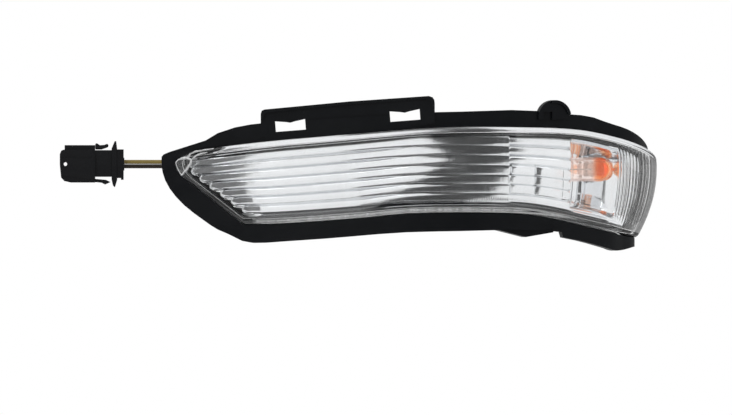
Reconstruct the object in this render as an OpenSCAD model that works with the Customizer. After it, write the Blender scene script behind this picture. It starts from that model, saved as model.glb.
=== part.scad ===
// Side repeater lamp for a door mirror: a black housing, a clear wrap-round lens,
// a fluted reflector and an amber capless bulb in a twist-in holder, with a two-way lead.
// The origin is the middle of the top flange's rear face. +X runs outboard, -Y faces forward.

/* [Face curve] */
// Radius of the long front face, seen from above
face_r = 330; // [315:5:345]
// Radius of the shoulder before the wrap
shoulder_r = 101; // [97:1:105]
// Radius of the wrap at the outboard end
wrap_r = 34; // [33.5:0.5:36]
// Turn of the face at its outboard end, in degrees
end_turn = 97; // [94:1:98]
// Radius of the crown, seen from the end
crown_r = 48; // [47:1:60]

/* [Lens] */
// Wall of the lens
lens_wall = 2.2; // [2:0.1:2.4]
// Round of the lens edge
lens_edge_r = 2.6; // [2.5:0.1:2.8]
// Depth of the prism flutes in the wrap
prism_depth = 0.5; // [0.3:0.1:0.8]

/* [Housing] */
// Wall of the housing
wall = 1.8; // [1.6:0.1:1.9]
// Depth of the lip that stiffens the housing's rim
lip = 3.4; // [2.6:0.2:4]
// Thickness of the top flange
flange_t = 3; // [2.8:0.1:3.2]
// Width of the two fixing windows in the flange
window_w = 12; // [10:0.5:12.5]

/* [Reflector] */
// Number of long flutes
flutes = 7; // [6:1:9]
// Depth of one flute
flute_depth = 1.6; // [1.2:0.1:1.9]
// Thickness of the reflector
reflector_t = 1.2; // [1:0.1:1.4]

/* [Bulb and holder] */
// Diameter of the bulb's glass
bulb_d = 9.5; // [9:0.1:10]
// Length of the glass in front of the holder
bulb_l = 22; // [20:0.5:22]
// Diameter of the port in the housing
port_d = 15.6; // [15.2:0.1:16]

/* [Lead and connector] */
// Diameter of one insulated wire
wire_d = 1.7; // [1.5:0.1:1.8]
// Height of the connector's body
connector_h = 13.2; // [12.4:0.2:14]
// Depth of the connector's body
connector_d = 9; // [8.6:0.2:11]

/* [Hidden] */
$fn = 48;

RAD = 180 / PI;
face_half = 13.1;
wrap_turn = 35;
lens_stand = 8.5;
lens_skirt = 7;
rim_depth = 3.4;
side_gap = 0.3;
weld_gap = 0.15;
ledge_w = 2.6;
draft = 0.6;
pan_depth = 12;
chamber_depth = 33;
step_s = 78;

// Distances along the face start at the middle of the flange and grow outboard
s_shoulder = face_r * face_half / RAD;
s_wrap = s_shoulder + shoulder_r * (wrap_turn - face_half) / RAD;
s_end = s_wrap + wrap_r * (end_turn - wrap_turn) / RAD;
face_centre = [0, face_r - lens_stand];
shoulder_centre = face_centre + (face_r - shoulder_r) * [sin(face_half), -cos(face_half)];
wrap_centre = shoulder_centre + (shoulder_r - wrap_r) * [sin(wrap_turn), -cos(wrap_turn)];

function turn(s) =
    s < s_shoulder ? s / face_r * RAD
    : s < s_wrap ? face_half + (s - s_shoulder) / shoulder_r * RAD
    : wrap_turn + (s - s_wrap) / wrap_r * RAD;
function centre(s) = s < s_shoulder ? face_centre : s < s_wrap ? shoulder_centre : wrap_centre;
function radius(s) = s < s_shoulder ? face_r : s < s_wrap ? shoulder_r : wrap_r;
// The point at distance s along the face, depth u behind it and height z
function place(s, u, z) =
    let (t = turn(s), r = radius(s) - u, c = centre(s))
    [c.x + r * sin(t), c.y - r * cos(t), z];

function mix(a, b, t) = a + (b - a) * t;
function ease(t) = let (c = max(0, min(1, t))) c * c * (3 - 2 * c);

// The face falls back towards its top and bottom edges, most of all in the wrap
crown_z = -18.7;
function crown(s, z) = (0.45 + 0.55 * ease((s - 50) / 55)) * (z - crown_z) * (z - crown_z) / (2 * crown_r);

// A smooth curve through points that are listed in order
function span(list, s, i = 0) = i >= len(list) - 2 || s < list[i + 1].x ? i : span(list, s, i + 1);
function slope(list, i) =
    let (a = list[max(i - 1, 0)], b = list[min(i + 1, len(list) - 1)])
    (b.y - a.y) / (b.x - a.x);
function smooth(list, s) =
    let (i = span(list, s), a = list[i], b = list[i + 1], h = b.x - a.x, t = (s - a.x) / h)
    a.y * (1 + 2 * t) * (1 - t) * (1 - t) + b.y * t * t * (3 - 2 * t)
    + h * (slope(list, i) * t * (1 - t) * (1 - t) - slope(list, i + 1) * t * t * (1 - t));

// Top and bottom edges of the lens: distance along the face, height
lens_top = [[-75, -13], [-58, -10.9], [-33, -8], [-7, -5.7], [18, -3.5], [32, -2.5], [53, -2.1],
    [70, -2.2], [87, -2.6], [100, -3.7], [115, -6.5], [128, -9.5], [140, -12.6], [151, -16], [160, -19]];
lens_bottom = [[-75, -41], [-58, -41], [-42, -40.8], [-33, -40.9], [-19, -40.2], [4, -38.5], [22, -36.8],
    [37, -36.3], [62, -36.4], [75, -37.1], [89, -39.1], [103, -41.6], [123, -44.7],
    [138, -46], [151, -46.5], [160, -46.8]];
// The inboard end of the lens: share of the height from the bottom edge, distance along the face
lens_side = [[0, -42.6], [0.16, -49], [0.33, -55.5], [0.505, -62], [0.69, -68.1], [0.84, -70.1],
    [0.92, -68.3], [0.975, -63.7], [1, -57.4]];
// The same for the outline of the housing's rim
rim_top = [[-76, -16], [-73, -14.6], [-70.4, -12.8], [-67.2, -11.5], [-62.3, -9.6], [-56.5, -6.8],
    [-51.4, -3.8], [-45, -2.1], [-35.5, -0.6], [0, 1.6], [35, 3.8], [53, 4.2], [63, 4.7], [76, 4.5],
    [89, 3.2], [95, 2.9], [101.5, 2.4], [106, 1.2], [111.5, -0.5], [120.4, -2.5],
    [127, -4.4], [133.3, -6.5], [140, -8.9], [151, -12.6], [160, -15.6]];
rim_bottom = [[-76, -46.1], [-60, -46.1], [-46.5, -46.3], [-43.5, -47.6], [-37.5, -48.5], [-25, -47.8],
    [-7, -46.6], [4, -45.7], [22, -44.3], [53, -43.6], [66, -43.2], [89.6, -44.1], [90.4, -46.3],
    [94, -46.9], [100, -47.8], [107, -49.2],
    [114, -50.6], [121, -51.6], [130, -51.2], [138, -50.2], [151, -50], [160, -50]];
rim_side = [[0, -45.5], [0.067, -52.9], [0.155, -57.9], [0.303, -64.6], [0.439, -69.5], [0.601, -73.5],
    [0.752, -75.5], [0.89, -76], [0.955, -75.6], [0.985, -72.6], [1, -67.2]];
// How much nearer to the face the rim lies at its low outboard corner
rim_rise = 2.4;

function top_z(s) = smooth(lens_top, s);
function bottom_z(s) = smooth(lens_bottom, s);
function side_s(f) = smooth(lens_side, max(0, min(1, f)));
// The share of the lens height that lies a given distance in from an edge
edge_span = 31;
function share_in(inset, f) = mix(inset / edge_span, 1 - inset / edge_span, f);
// How far a station gives way to the slanted inboard end
function yield_to(s, from, to) = s >= to ? 0 : pow((to - s) / (to - from), 1.5);

// A closed wall between a front and a back grid that have the same rows and columns.
// Cells listed in open, as [row, column], are left out and their edges walled
module shell(front, back, open = []) {
    rows = len(front);
    cols = len(front[0]);
    n = rows * cols;
    function at(side, i, j) = side * n + i * cols + j;
    function gone(i, j) = len(open) > 0 && len([for (c = open) if (c == [i, j]) 1]) > 0;
    quads = [
        for (c = open) let (i = c.x, j = c.y) each [
            if (!gone(i - 1, j)) [at(0, i, j), at(0, i, j + 1), at(1, i, j + 1), at(1, i, j)],
            if (!gone(i + 1, j)) [at(0, i + 1, j + 1), at(0, i + 1, j), at(1, i + 1, j), at(1, i + 1, j + 1)],
            if (!gone(i, j - 1)) [at(0, i + 1, j), at(0, i, j), at(1, i, j), at(1, i + 1, j)],
            if (!gone(i, j + 1)) [at(0, i, j + 1), at(0, i + 1, j + 1), at(1, i + 1, j + 1), at(1, i, j + 1)]
        ],
        for (i = [0:rows - 2], j = [0:cols - 2]) if (!gone(i, j)) each [
            [at(0, i, j), at(0, i, j + 1), at(0, i + 1, j + 1), at(0, i + 1, j)],
            [at(1, i, j), at(1, i + 1, j), at(1, i + 1, j + 1), at(1, i, j + 1)]
        ],
        for (i = [0:rows - 2]) each [
            [at(0, i, 0), at(0, i + 1, 0), at(1, i + 1, 0), at(1, i, 0)],
            [at(0, i, cols - 1), at(1, i, cols - 1), at(1, i + 1, cols - 1), at(0, i + 1, cols - 1)]
        ],
        for (j = [0:cols - 2]) each [
            [at(1, 0, j), at(1, 0, j + 1), at(0, 0, j + 1), at(0, 0, j)],
            [at(0, rows - 1, j), at(0, rows - 1, j + 1), at(1, rows - 1, j + 1), at(1, rows - 1, j)]
        ]
    ];
    polyhedron(
        points = [for (side = [front, back]) for (row = side) each row],
        faces = [for (q = quads) each [[q[0], q[1], q[2]], [q[0], q[2], q[3]]]]);
}

// Stands its children on the face curve: local +X along the face, local +Y into the lamp
module on_face(s, u, z) translate(place(s, u, z)) rotate([0, 0, turn(s)]) children();

// Housing
tub_from = -58;
tub_to = 10;
tub_stations = [tub_from, -50, -43, -36, -24, -12, 0, 12, 24, 36, 46, 56, 67, step_s, step_s + 0.4, 83,
    89.6, 90.4, 94, 98, 104, 109, 114, 118, 122, 126, 130, 134, 138, 142, 145];
tub_shares = [0.1, 0.28, 0.5, 0.7, 0.84, 0.93];
rim_shares = [0, 0.03, 0.07, 0.12, 0.18, 0.26, 0.36, 0.46, 0.56, 0.66, 0.75, 0.81, 0.86, 0.9, 0.94,
    0.965, 0.985, 1];
seat_inset = [-side_gap, -side_gap, -side_gap, -side_gap, ledge_w, ledge_w + draft];
tip_thin = 0.4;
tub_rows = len(tub_stations) + 12;
tub_cols = len(tub_shares) + 12;
chamber = [[step_s, chamber_depth], [104, chamber_depth], [112, 31.8], [118, 29.3], [126, 23.5], [134, 18],
    [s_end - 3, 12.5], [s_end + 9, 12.5]];
function pan_at(s, is_step) = s < step_s + 0.2 && !is_step ? pan_depth : smooth(chamber, max(s, step_s));
// Depth of the floor, which stays clear of the ledge where the face falls back
function floor_u(s, z, is_step = false) = max(pan_at(s, is_step), lens_skirt + 4.2 + crown(s, z));

function tub_point(i, j, side) =
    let (
        ki = min(i, tub_rows - 1 - i),
        kj = min(j, tub_cols - 1 - j),
        k = min(ki, kj),
        upper = j > tub_cols / 2,
        at_tip = upper && kj < 6 && i < 5,
        grow = side * wall * (at_tip ? tip_thin : 1),
        inset = seat_inset[min(ki, 5)] - grow,
        rounded = upper && kj == 3 && (i == 2 || i == 3),
        across = kj < 6 ? (upper ? 1 : 0) : tub_shares[j - 6],
        f = share_in(rounded ? 0.75 : max(seat_inset[min(kj, 5)], 0), across),
        row = i - 6,
        station = ki < 6 ? 0 : tub_stations[row],
        after_step = ki >= 6 && station == step_s + 0.4,
        w = yield_to(station, tub_from, tub_to),
        edge = side * (ki < 2 && i > 6 ? 0.9 : 0.6),
        s = ki < 2 ? (i < 6 ? smooth(rim_side, rim_shares[j]) + edge : s_end + side_gap + wall + 1 - edge)
            : ki < 6 ? (i < 6 ? side_s(f) + 1.4 * inset : s_end - inset)
            : station - (side == 1 && (after_step || station == step_s) ? wall : 0)
                + w * (side_s(f) + 1.4 * (seat_inset[5] - grow) - tub_from),
        low = bottom_z(s),
        high = top_z(s),
        rim_low = smooth(rim_bottom, s),
        rim_high = max(smooth(rim_top, s), s < -59 ? high + 1.2 : high + 2.8),
        rim_edge = side * min(wall, rim_high - high - 2.2),
        z = ki < 2 ? mix(rim_low + side * 0.9, rim_high - side * 0.6, rim_shares[j])
            : kj < 2 ? (upper ? rim_high - rim_edge : rim_low + side * wall)
            : kj < 6 ? (upper ? high : low) + (upper ? -1 : 1) * ((rounded ? 0.5 : seat_inset[kj]) - grow)
            : mix(low + seat_inset[5] - grow, high - seat_inset[5] + grow, tub_shares[j - 6]),
        rim_u = rim_depth + crown(s, max(low, min(high, z)))
            - rim_rise * ease((s - 126) / 14) * ease((-30 - z) / 12),
        lip_u = upper && kj < 2 && s > -56 && s < 100 ? wall + 0.05 : lip,
        u = k == 0 ? rim_u + lip_u
            : k < 3 ? rim_u + grow
            : k < 5 ? lens_skirt + crown(s, z) + grow
            : floor_u(s, z, after_step) + grow
    )
    place(s, u, z);

module tub() shell(
    [for (i = [0:tub_rows - 1]) [for (j = [0:tub_cols - 1]) tub_point(i, j, 0)]],
    [for (i = [0:tub_rows - 1]) [for (j = [0:tub_cols - 1]) tub_point(i, j, 1)]]);

// A flat outline drawn in X and Z, given depth along +Y
module upright(depth) translate([0, depth, 0]) rotate([90, 0, 0]) linear_extrude(depth) children();

// The flange rises above the lens; d draws its outline in by that much at the top and the ends
flange_half = 34.8;
module flange_outline(d = 0) polygon([
    [-flange_half + d, -6.2], [-flange_half + d, 3.2 - d], [-flange_half + 0.4 + d, 4.4 - d],
    [-flange_half + 1.5 + d, 4.9 - d], [0.5, 8.1 - d], [flange_half - 2.4 - d, 10.3 - d],
    [flange_half - 0.9 - d, 9.8 - d], [flange_half - 0.2 - d, 8.8 - d], [flange_half - d, 7.4 - d],
    [flange_half - d, -0.8], [0, -3.4]]);
module flange() {
    translate([0, -flange_t, 0]) upright(flange_t) flange_outline();
    translate([0, -flange_t - 1, 0]) upright(1.5) difference() {
        flange_outline();
        flange_outline(1.2);
        translate([-40, -14.6]) rotate(4) square([80, 15]);
    }
}

// Bead along the flange's root, clear of the wall below it
module root_bead() upright(0.5) polygon(concat(
    [[flange_half, -0.8], [0, -3.4], [-flange_half, -6.2]],
    [for (s = [-flange_half, -17, 0, 18, flange_half]) [s, top_z(s) + side_gap + wall + 0.55]]));

// Fixing windows, each with a blunt tooth in its upper edge
window_x = 22.9;
window_h = 4.2;
window_slant = 4.5;
module windows() for (side = [-1, 1])
    translate([side * window_x, -10, 0.5 + side * 2]) rotate([0, -window_slant, 0]) upright(20)
        polygon([[-window_w / 2, -window_h / 2], [window_w / 2, -window_h / 2], [window_w / 2, window_h / 2],
            [1.8, window_h / 2 - 0.6], [0, window_h / 2 - 1], [-1.8, window_h / 2 - 0.6],
            [-window_w / 2, window_h / 2]]);

// Half-round locating ear with a raised rim and a small pocket
ear_s = 85.2;
ear_r = 6.8;
module ear() on_face(ear_s, 4.2, 1.9) difference() {
    union() {
        upright(3.4) circle(ear_r);
        translate([0, -1, 0]) upright(2) difference() {
            circle(ear_r);
            circle(ear_r - 1.2);
            translate([-ear_r, -2 * ear_r + 1.2]) square(2 * ear_r);
            translate([-ear_r - 1, 0]) square([ear_r - 0.5, ear_r + 1]);
        }
    }
    translate([-4.7, -1.4, -1.1]) cube([3.7, 2.6, 3.2]);
    translate([-ear_r - 1, -2, -ear_r - 1]) cube([2 * ear_r + 2, 8, ear_r]);
}

// Snap hook under the rim: a tongue that runs back, with a ramped nose below it
hook_s = 74;
module hook() on_face(hook_s, 6.4, smooth(rim_bottom, hook_s)) {
    translate([-12, 0, 0.2]) cube([23, 10, 1.6]);
    translate([0, 1.5, 0]) upright(7.5) polygon([[-12, 0.6], [-12, 0], [-0.3, -2.9], [11, -1], [11, 0.6]]);
}

// The bulb's axis crosses the step wall: local +Z points at the bulb's tip
axis_u = 24.3;
axis_z = -19;
axis_turn = 9;
neck_r = 5.6;
boss_out = -3.4;
boss_in = 1.8;
boss_r = port_d / 2 + 2;
module on_axis()
    translate(place(step_s, axis_u, axis_z)) rotate([0, 0, axis_turn]) rotate([0, 90, 0]) children();
module boss() on_axis() translate([0, 0, boss_out]) cylinder(r = boss_r, h = boss_in - boss_out);
module sector(r, half) polygon([[0, 0], for (a = [-half:half / 2:half]) 1.2 * r * [cos(a), sin(a)]]);
module port() on_axis() {
    translate([0, 0, boss_out - 1]) cylinder(d = port_d, h = boss_in - boss_out + 2);
    for (a = [60:120:300]) translate([0, 0, boss_out - 1]) rotate(a)
        linear_extrude(boss_in - boss_out + 2) intersection() {
            circle(port_d / 2 + 1.3);
            sector(port_d / 2 + 1.3, 22);
        }
}

// Gussets that stiffen the step wall above and below the port
module gussets() for (z = [-34.6, -5.4]) on_face(step_s - wall + 0.5, pan_depth + wall - 0.5, z)
    linear_extrude(1.6) polygon([[0, -0.5], [-11, 0.4], [-1.5, 16], [0, 16]]);

// Hooks on the back of the pan that hold the lead
lead_z = -16.9;
hook_stations = [-58, -20, 20];
module lead_hook(s) on_face(s, pan_depth + wall - 0.4, lead_z) for (side = [-1, 1])
    translate([-2.5, 0, 0]) rotate([90, 0, 90]) linear_extrude(5)
        polygon([[0, side * (wire_d + 0.15)], [0, side * (wire_d + 1.5)],
            [4.6, side * (wire_d + 1.2)], [4.9, side * (wire_d - 0.5)], [3.7, side * (wire_d + 0.15)]]);

// Vent boss on the chamber's back
vent_s = 95;
vent_z = -22;
module on_vent() on_face(vent_s, chamber_depth + wall - 0.6, vent_z) rotate([-90, 0, 0]) children();
module vent_boss() on_vent() cylinder(d = 8.6, h = 2.8);
module vent_hole() on_vent() {
    translate([0, 0, 1.4]) cylinder(d = 6.2, h = 3);
    translate([0, 0, -4]) cylinder(d = 3.6, h = 6);
}

module housing() color("#1b1c1f") difference() {
    union() {
        tub();
        flange();
        root_bead();
        ear();
        hook();
        boss();
        gussets();
        for (s = hook_stations) lead_hook(s);
        vent_boss();
    }
    windows();
    port();
    vent_hole();
}

// Lens
lens_from = -60;
lens_to = 30;
prism_from = 113;
prism_pitch = 2;
prism_count = 12;
lens_stations = concat(
    [lens_from, -56, -50, -42, -32, -22, -12, 0, 12, 24, 36, 48, 60, 72, 80, 88, 95, 101, 107],
    [for (i = [0:2 * prism_count]) prism_from + i * prism_pitch / 2], [140, 143.5]);
lens_shares = [for (i = [1:7]) i / 8];
lens_rows = len(lens_stations) + 8;
lens_cols = len(lens_shares) + 8;

function prism(s) =
    let (n = (s - prism_from) / prism_pitch)
    s < prism_from || n > prism_count + 0.01 ? 0 : prism_depth * (1 - abs(2 * (n - floor(n)) - 1));

function lens_point(i, j, side) =
    let (
        ki = min(i, lens_rows - 1 - i),
        kj = min(j, lens_cols - 1 - j),
        k = min(ki, kj),
        upper = j >= lens_cols / 2,
        r = side == 0 ? lens_edge_r : max(lens_edge_r - lens_wall, 0.3),
        w = side * lens_wall,
        inset = [w, w, w + 0.3 * r, w + r],
        depth = [lens_skirt - weld_gap, w + r, w + 0.3 * r, w],
        across = kj > 3 ? lens_shares[j - 4] : upper ? 1 : 0,
        f = share_in(inset[min(kj, 3)], across),
        station = ki < 4 ? 0 : lens_stations[i - 4],
        s = ki < 4 ? (i < 4 ? side_s(f) + 1.4 * inset[ki] : s_end - inset[ki])
            : station + yield_to(station, lens_from, lens_to) * (side_s(f) + 1.4 * inset[3] + 1 - lens_from),
        low = bottom_z(s),
        high = top_z(s),
        z = kj < 4 ? (upper ? high - inset[kj] : low + inset[kj])
            : mix(low + inset[3], high - inset[3], across),
        u = crown(s, z) + depth[min(k, 3)] - (side == 1 && k > 3 ? prism(s) : 0)
    )
    place(s, u, z);

module lens() color("#dfe6ea", 0.4) shell(
    [for (i = [0:lens_rows - 1]) [for (j = [0:lens_cols - 1]) lens_point(i, j, 0)]],
    [for (i = [0:lens_rows - 1]) [for (j = [0:lens_cols - 1]) lens_point(i, j, 1)]]);

// Reflector
flute_from = -55;
flute_to = 10;
reflector_inset = ledge_w + 0.3;
crest_u = 6.8;
refl_stations = [flute_from, -52, -48, -43, -36, -24, -12, 0, 12, 24, 36, 48, 60, 64, 65.5, 77.2, 77.8, 89.6,
    90.2, 93.4, 94.2, 94.9, 95.5, 96.1, 97.1, 97.7, 101, 104, 108, 112, 116, 120, 124, 128, 134];
flute_shares = concat([for (n = [0:flutes - 1], v = [0, 0.35, 0.65]) (n + v) / flutes], [1]);
groove = 1.3;
skirt_cols = 3;
// How far the skirt's end rows are drawn in, across and along, from the foot round the corner
corner_z = [[draft, 0.85, 1.1, 1.35], [draft, 0.45, 0.9, 1.35]];
corner_s = [[draft, draft, draft, draft], [0.85, 0.45, 0, 0]];
refl_rows = len(refl_stations) + 2 * 2;
refl_cols = len(flute_shares) + 2 * skirt_cols;
// Position across one flute, from -1 to 1
function across_flute(f) = let (n = f * flutes) 2 * (n - floor(n)) - 1;
// Bulb bowl: the share of its full depth that is reached
bowl_depth = 19.6;
function bowl(s, f) =
    let (rise = ease((s - 93.4) / 4.2), fall = 1 - ease((s - 112) / 27))
    rise * fall * ease(f / 0.24) * ease((1 - f) / 0.12);
// Raised facets between the flutes and the bowl
function facet(s, f) =
    f < 0.99 / flutes || f > 4.01 / flutes || s < 64.5 || s > 93 ? 0
    : (f > 2.5 / flutes ? 1.5 : 1.2) * (s > 90 ? 0.2 : s > 77.5 ? 0.75 - (s - 77.5) / 40 : 1 - (s - 64) / 40);

function refl_point(i, j, side) =
    let (
        ki = min(i, refl_rows - 1 - i),
        kj = min(j, refl_cols - 1 - j),
        upper = j >= refl_cols / 2,
        f = kj < skirt_cols ? (upper ? 1 : 0) : flute_shares[j - skirt_cols],
        v = across_flute(min(f, 0.9999)),
        t = side * reflector_t,
        kc = min(kj, skirt_cols),
        margin = reflector_inset + t
            + (ki < 2 ? corner_z[ki][kc] : [draft, 0, 0.3, upper ? 0.6 : groove][kc]),
        side_f = share_in(margin, f),
        petal = 0.2 + 4.2 * v * v,
        station = ki < 2 ? 0 : refl_stations[i - 2],
        left = side_s(side_f) + 1.4 * (reflector_inset + t) + 0.3,
        line = i < 2 ? left + 1.4 * corner_s[ki][kc]
            : i > refl_rows - 3 ? s_end - reflector_inset - t - corner_s[ki][kc]
            : station + yield_to(station, flute_from, flute_to) * (left + petal - flute_from),
        s = line - (side == 1 && station > 93 && station < 98 ? 1.1 : 0),
        low = bottom_z(s) + margin,
        high = top_z(s) - margin,
        z = mix(low, high, f),
        flat = kj < skirt_cols || ki < 2,
        end = i < 2 ? 0 : station - flute_from,
        dip = flat ? 0 : 1.3 * pow(max(0, 1 - end / 19), 2),
        wrapped = ease((line - 110) / 10),
        hollow = bowl(line, f),
        ridge = flute_depth * (flat ? 1 : mix(mix(v * v, 1, hollow), 0.7, wrapped)),
        body = crest_u + ridge + dip - facet(line, f) + bowl_depth * hollow - 0.6 * ease((line - 118) / 20),
        u = min(ki, kj) == 0 ? min(floor_u(s, z), pan_depth + crown(s, z)) - (s > step_s ? 1.6 : weld_gap)
            : (i < 2 ? crest_u + flute_depth + 0.4 + t : body + t) + crown(s, z)
    )
    place(s, u, z);

// The glass enters the bowl through an opening in its inboard wall
glass_rows = [for (i = [0:refl_rows - 5]) if (refl_stations[i] > 94.8 && refl_stations[i] < 97) i + 2];
glass_open = [for (i = glass_rows, j = [skirt_cols:refl_cols - skirt_cols - 2])
    let (z = (refl_point(i, j, 0).z + refl_point(i, j + 1, 0).z) / 2)
    if (abs(z - axis_z) < neck_r + (i == glass_rows[1] ? 1 : 0)) [i, j]];

module reflector() color("#d8dadc") shell(
    [for (i = [0:refl_rows - 1]) [for (j = [0:refl_cols - 1]) refl_point(i, j, 0)]],
    [for (i = [0:refl_rows - 1]) [for (j = [0:refl_cols - 1]) refl_point(i, j, 1)]],
    glass_open);

// Bulb: the glass stands on a flat wedge base
glass_from = 12.6;
glass_t = 0.8;
glass_to = glass_from + bulb_l;
base_l = 7;
base_w = 9.2;
base_t = 2.8;
lead_gap = 2;
filament_z = glass_from + 13;
module glass_half(r, from, to) intersection() {
    union() {
        translate([-r, from + 1.4]) square([2 * r, to - from - r - 1.4]);
        translate([0, to - r]) circle(r);
        polygon([[-r + 1.2, from], [r - 1.2, from], [r, from + 1.5], [-r, from + 1.5]]);
    }
    translate([0, from]) square([r, to - from]);
}
module bulb_envelope() color("#e8833a", 0.6) on_axis() difference() {
    union() {
        rotate_extrude() glass_half(bulb_d / 2, glass_from, glass_to);
        translate([-base_t / 2, -base_w / 2, glass_from - base_l]) cube([base_t, base_w, base_l + 0.6]);
        translate([0, 0, glass_to - 0.5]) cylinder(r1 = 1, r2 = 0.5, h = 1.4);
    }
    rotate_extrude() glass_half(bulb_d / 2 - glass_t, glass_from + 1.6, glass_to - glass_t);
    for (side = [-1, 1])
        translate([0, side * lead_gap, glass_from - base_l - 1]) cylinder(r = 0.3, h = base_l + 4);
}
module bulb_lead(side) on_axis() {
    translate([0, side * lead_gap, glass_from - base_l - 0.4])
        cylinder(r = 0.22, h = filament_z - glass_from + base_l + 0.4);
    translate([side > 0 ? -0.2 : -base_t / 2 - 0.35, side * lead_gap - 0.3, glass_from - base_l - 0.5])
        cube([base_t / 2 + 0.55, 0.6, 0.4]);
    translate([side > 0 ? base_t / 2 + 0.05 : -base_t / 2 - 0.35, side * lead_gap - 0.3,
        glass_from - base_l - 0.3])
        cube([0.3, 0.6, 5]);
}
module bulb_lead_signal() color("#c9c9c9") bulb_lead(-1);
module bulb_lead_ground() color("#c9c9c9") bulb_lead(1);
module bulb_filament() color("#8f8f8f") on_axis() translate([0, 0, filament_z + 0.3]) rotate([90, 0, 0])
    cylinder(r = 0.3, h = 2 * lead_gap + 0.6, center = true);

// Holder: twists into the port and carries the bulb and both contacts
seal_t = 0.9;
barrel_r = port_d / 2 - 0.2;
disc_from = boss_out - seal_t - 1.4;
rear_from = -15;
contact_x = 2.1;
module bulb_holder() color("#26272b") on_axis() difference() {
    union() {
        translate([0, 0, disc_from]) cylinder(r = boss_r - 0.1, h = 1.4);
        translate([0, 0, boss_out - seal_t - 0.1]) cylinder(r = barrel_r, h = 7.2 - boss_out + seal_t);
        translate([0, 0, 7]) cylinder(r = neck_r, h = glass_from - 7);
        for (a = [0:120:240]) translate([0, 0, boss_in + 0.1]) rotate(a) linear_extrude(1.8) intersection() {
            circle(barrel_r + 1.2);
            sector(barrel_r + 1.2, 18);
        }
        translate([-6.5, -5.5, rear_from]) cube([13, 11, disc_from - rear_from + 0.1]);
        translate([-9, -1.4, rear_from + 2]) cube([18, 2.8, disc_from - rear_from - 1.9]);
    }
    translate([-2.5, -2.4, disc_from]) cube([5, 4.8, 20]);
    translate([-base_t / 2 - 0.1, -base_w / 2 - 0.1, glass_from - base_l - 1])
        cube([base_t + 0.2, base_w + 0.2, 12]);
    for (side = [-1, 1]) translate([side * contact_x, 0, 0]) {
        translate([0, 0, -9.3]) cylinder(r = 1.4, h = 5);
        translate([0, 0, rear_from - 1]) cylinder(d = wire_d + 0.6, h = 8);
    }
}
module holder_contact(side) on_axis() {
    difference() {
        translate([side * contact_x, 0, -9.2]) cylinder(r = 1.3, h = 4.4);
        translate([side * contact_x, 0, -10]) cylinder(d = wire_d + 0.04, h = 5);
    }
    translate([side > 0 ? base_t / 2 + 0.37 : -base_t / 2 - 0.87, -1.9, -5])
        cube([0.5, 3.8, glass_from + 4.4]);
}
module holder_contact_signal() color("#b08d57") holder_contact(-1);
module holder_contact_ground() color("#b08d57") holder_contact(1);
module holder_seal() color("#3a3a3c") on_axis() translate([0, 0, boss_out - seal_t]) difference() {
    cylinder(r = boss_r - 0.3, h = seal_t);
    translate([0, 0, -1]) cylinder(r = barrel_r + 0.05, h = 3);
}
module vent_membrane() color("#f0f0ee") on_vent() translate([0, 0, 1.4]) cylinder(d = 6.1, h = 0.4);

// Lead: two wires that leave the holder, lie in the pan's hooks and run out past the inboard tip
plug_y = 17.5;
plug_exit = -89.9;
function on_port(x, z) =
    let (p = place(step_s, axis_u, axis_z))
    [p.x + z * cos(axis_turn), p.y + z * sin(axis_turn), p.z - x];
function lead_route(side) = concat(
    [on_port(side * contact_x, -5.4), on_port(side * contact_x, -11), on_port(side * contact_x, -16)],
    [for (p = [[48, 17, 1.2], [38, 12.2, 0.87], [28, 8.9, 0.87], [19, 7.6, 0.87], [9, 7.2, 0.87],
        [0, 7, 0.87], [-10, 7.2, 0.87], [-20, 7.6, 0.87], [-30, 8.4, 0.87], [-40, 9.6, 0.87],
        [-50, 11.1, 0.87], [-58, 12.5, 0.87], [-66, 14.2, 0.87], [-74, 16, 0.87], [-82, 17.3, 0.88],
        [-86, 17.5, 0.88], [-90, 17.5, 0.88], [-94, 17.5, 0.88], [-98, 17.5, 1.9], [-101, 17.5, 2.5],
        [-103.5, 17.5, 2.5]])
        [p.x, p.y, lead_z - side * p.z]]);
function curve(list, t) =
    let (n = len(list), x = t * (n - 1), i = min(floor(x), n - 2), k = x - i,
        a = list[max(i - 1, 0)], b = list[i], c = list[i + 1], d = list[min(i + 2, n - 1)])
    b + k * (c - a) / 2 + k * k * (a - 2.5 * b + 2 * c - 0.5 * d) + k * k * k * (1.5 * (b - c) + (d - a) / 2);
module cord(list, r, rings) {
    function middle(i) = curve(list, i / rings);
    function ring(i) =
        let (t = middle(min(i + 0.2, rings)) - middle(max(i - 0.2, 0)), u = t / norm(t),
            across = cross(u, [0, 0, 1]) / norm(cross(u, [0, 0, 1])), up = cross(across, u))
        [for (a = [22.5:45:359]) middle(i) + r * (cos(a) * across + sin(a) * up)];
    polyhedron(
        points = [for (i = [0:rings]) each ring(i)],
        faces = concat([[7, 6, 5, 4, 3, 2, 1, 0]], [[for (k = [0:7]) rings * 8 + k]],
            [for (i = [0:rings - 1], k = [0:7]) let (a = i * 8 + k, b = i * 8 + (k + 1) % 8)
                each [[a, b, b + 8], [a, b + 8, a + 8]]]));
}
module wire_signal() color("#96864a") cord(lead_route(-1), wire_d / 2, 39);
module wire_ground() color("#2a1c12") cord(lead_route(1), wire_d / 2, 39);

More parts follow.
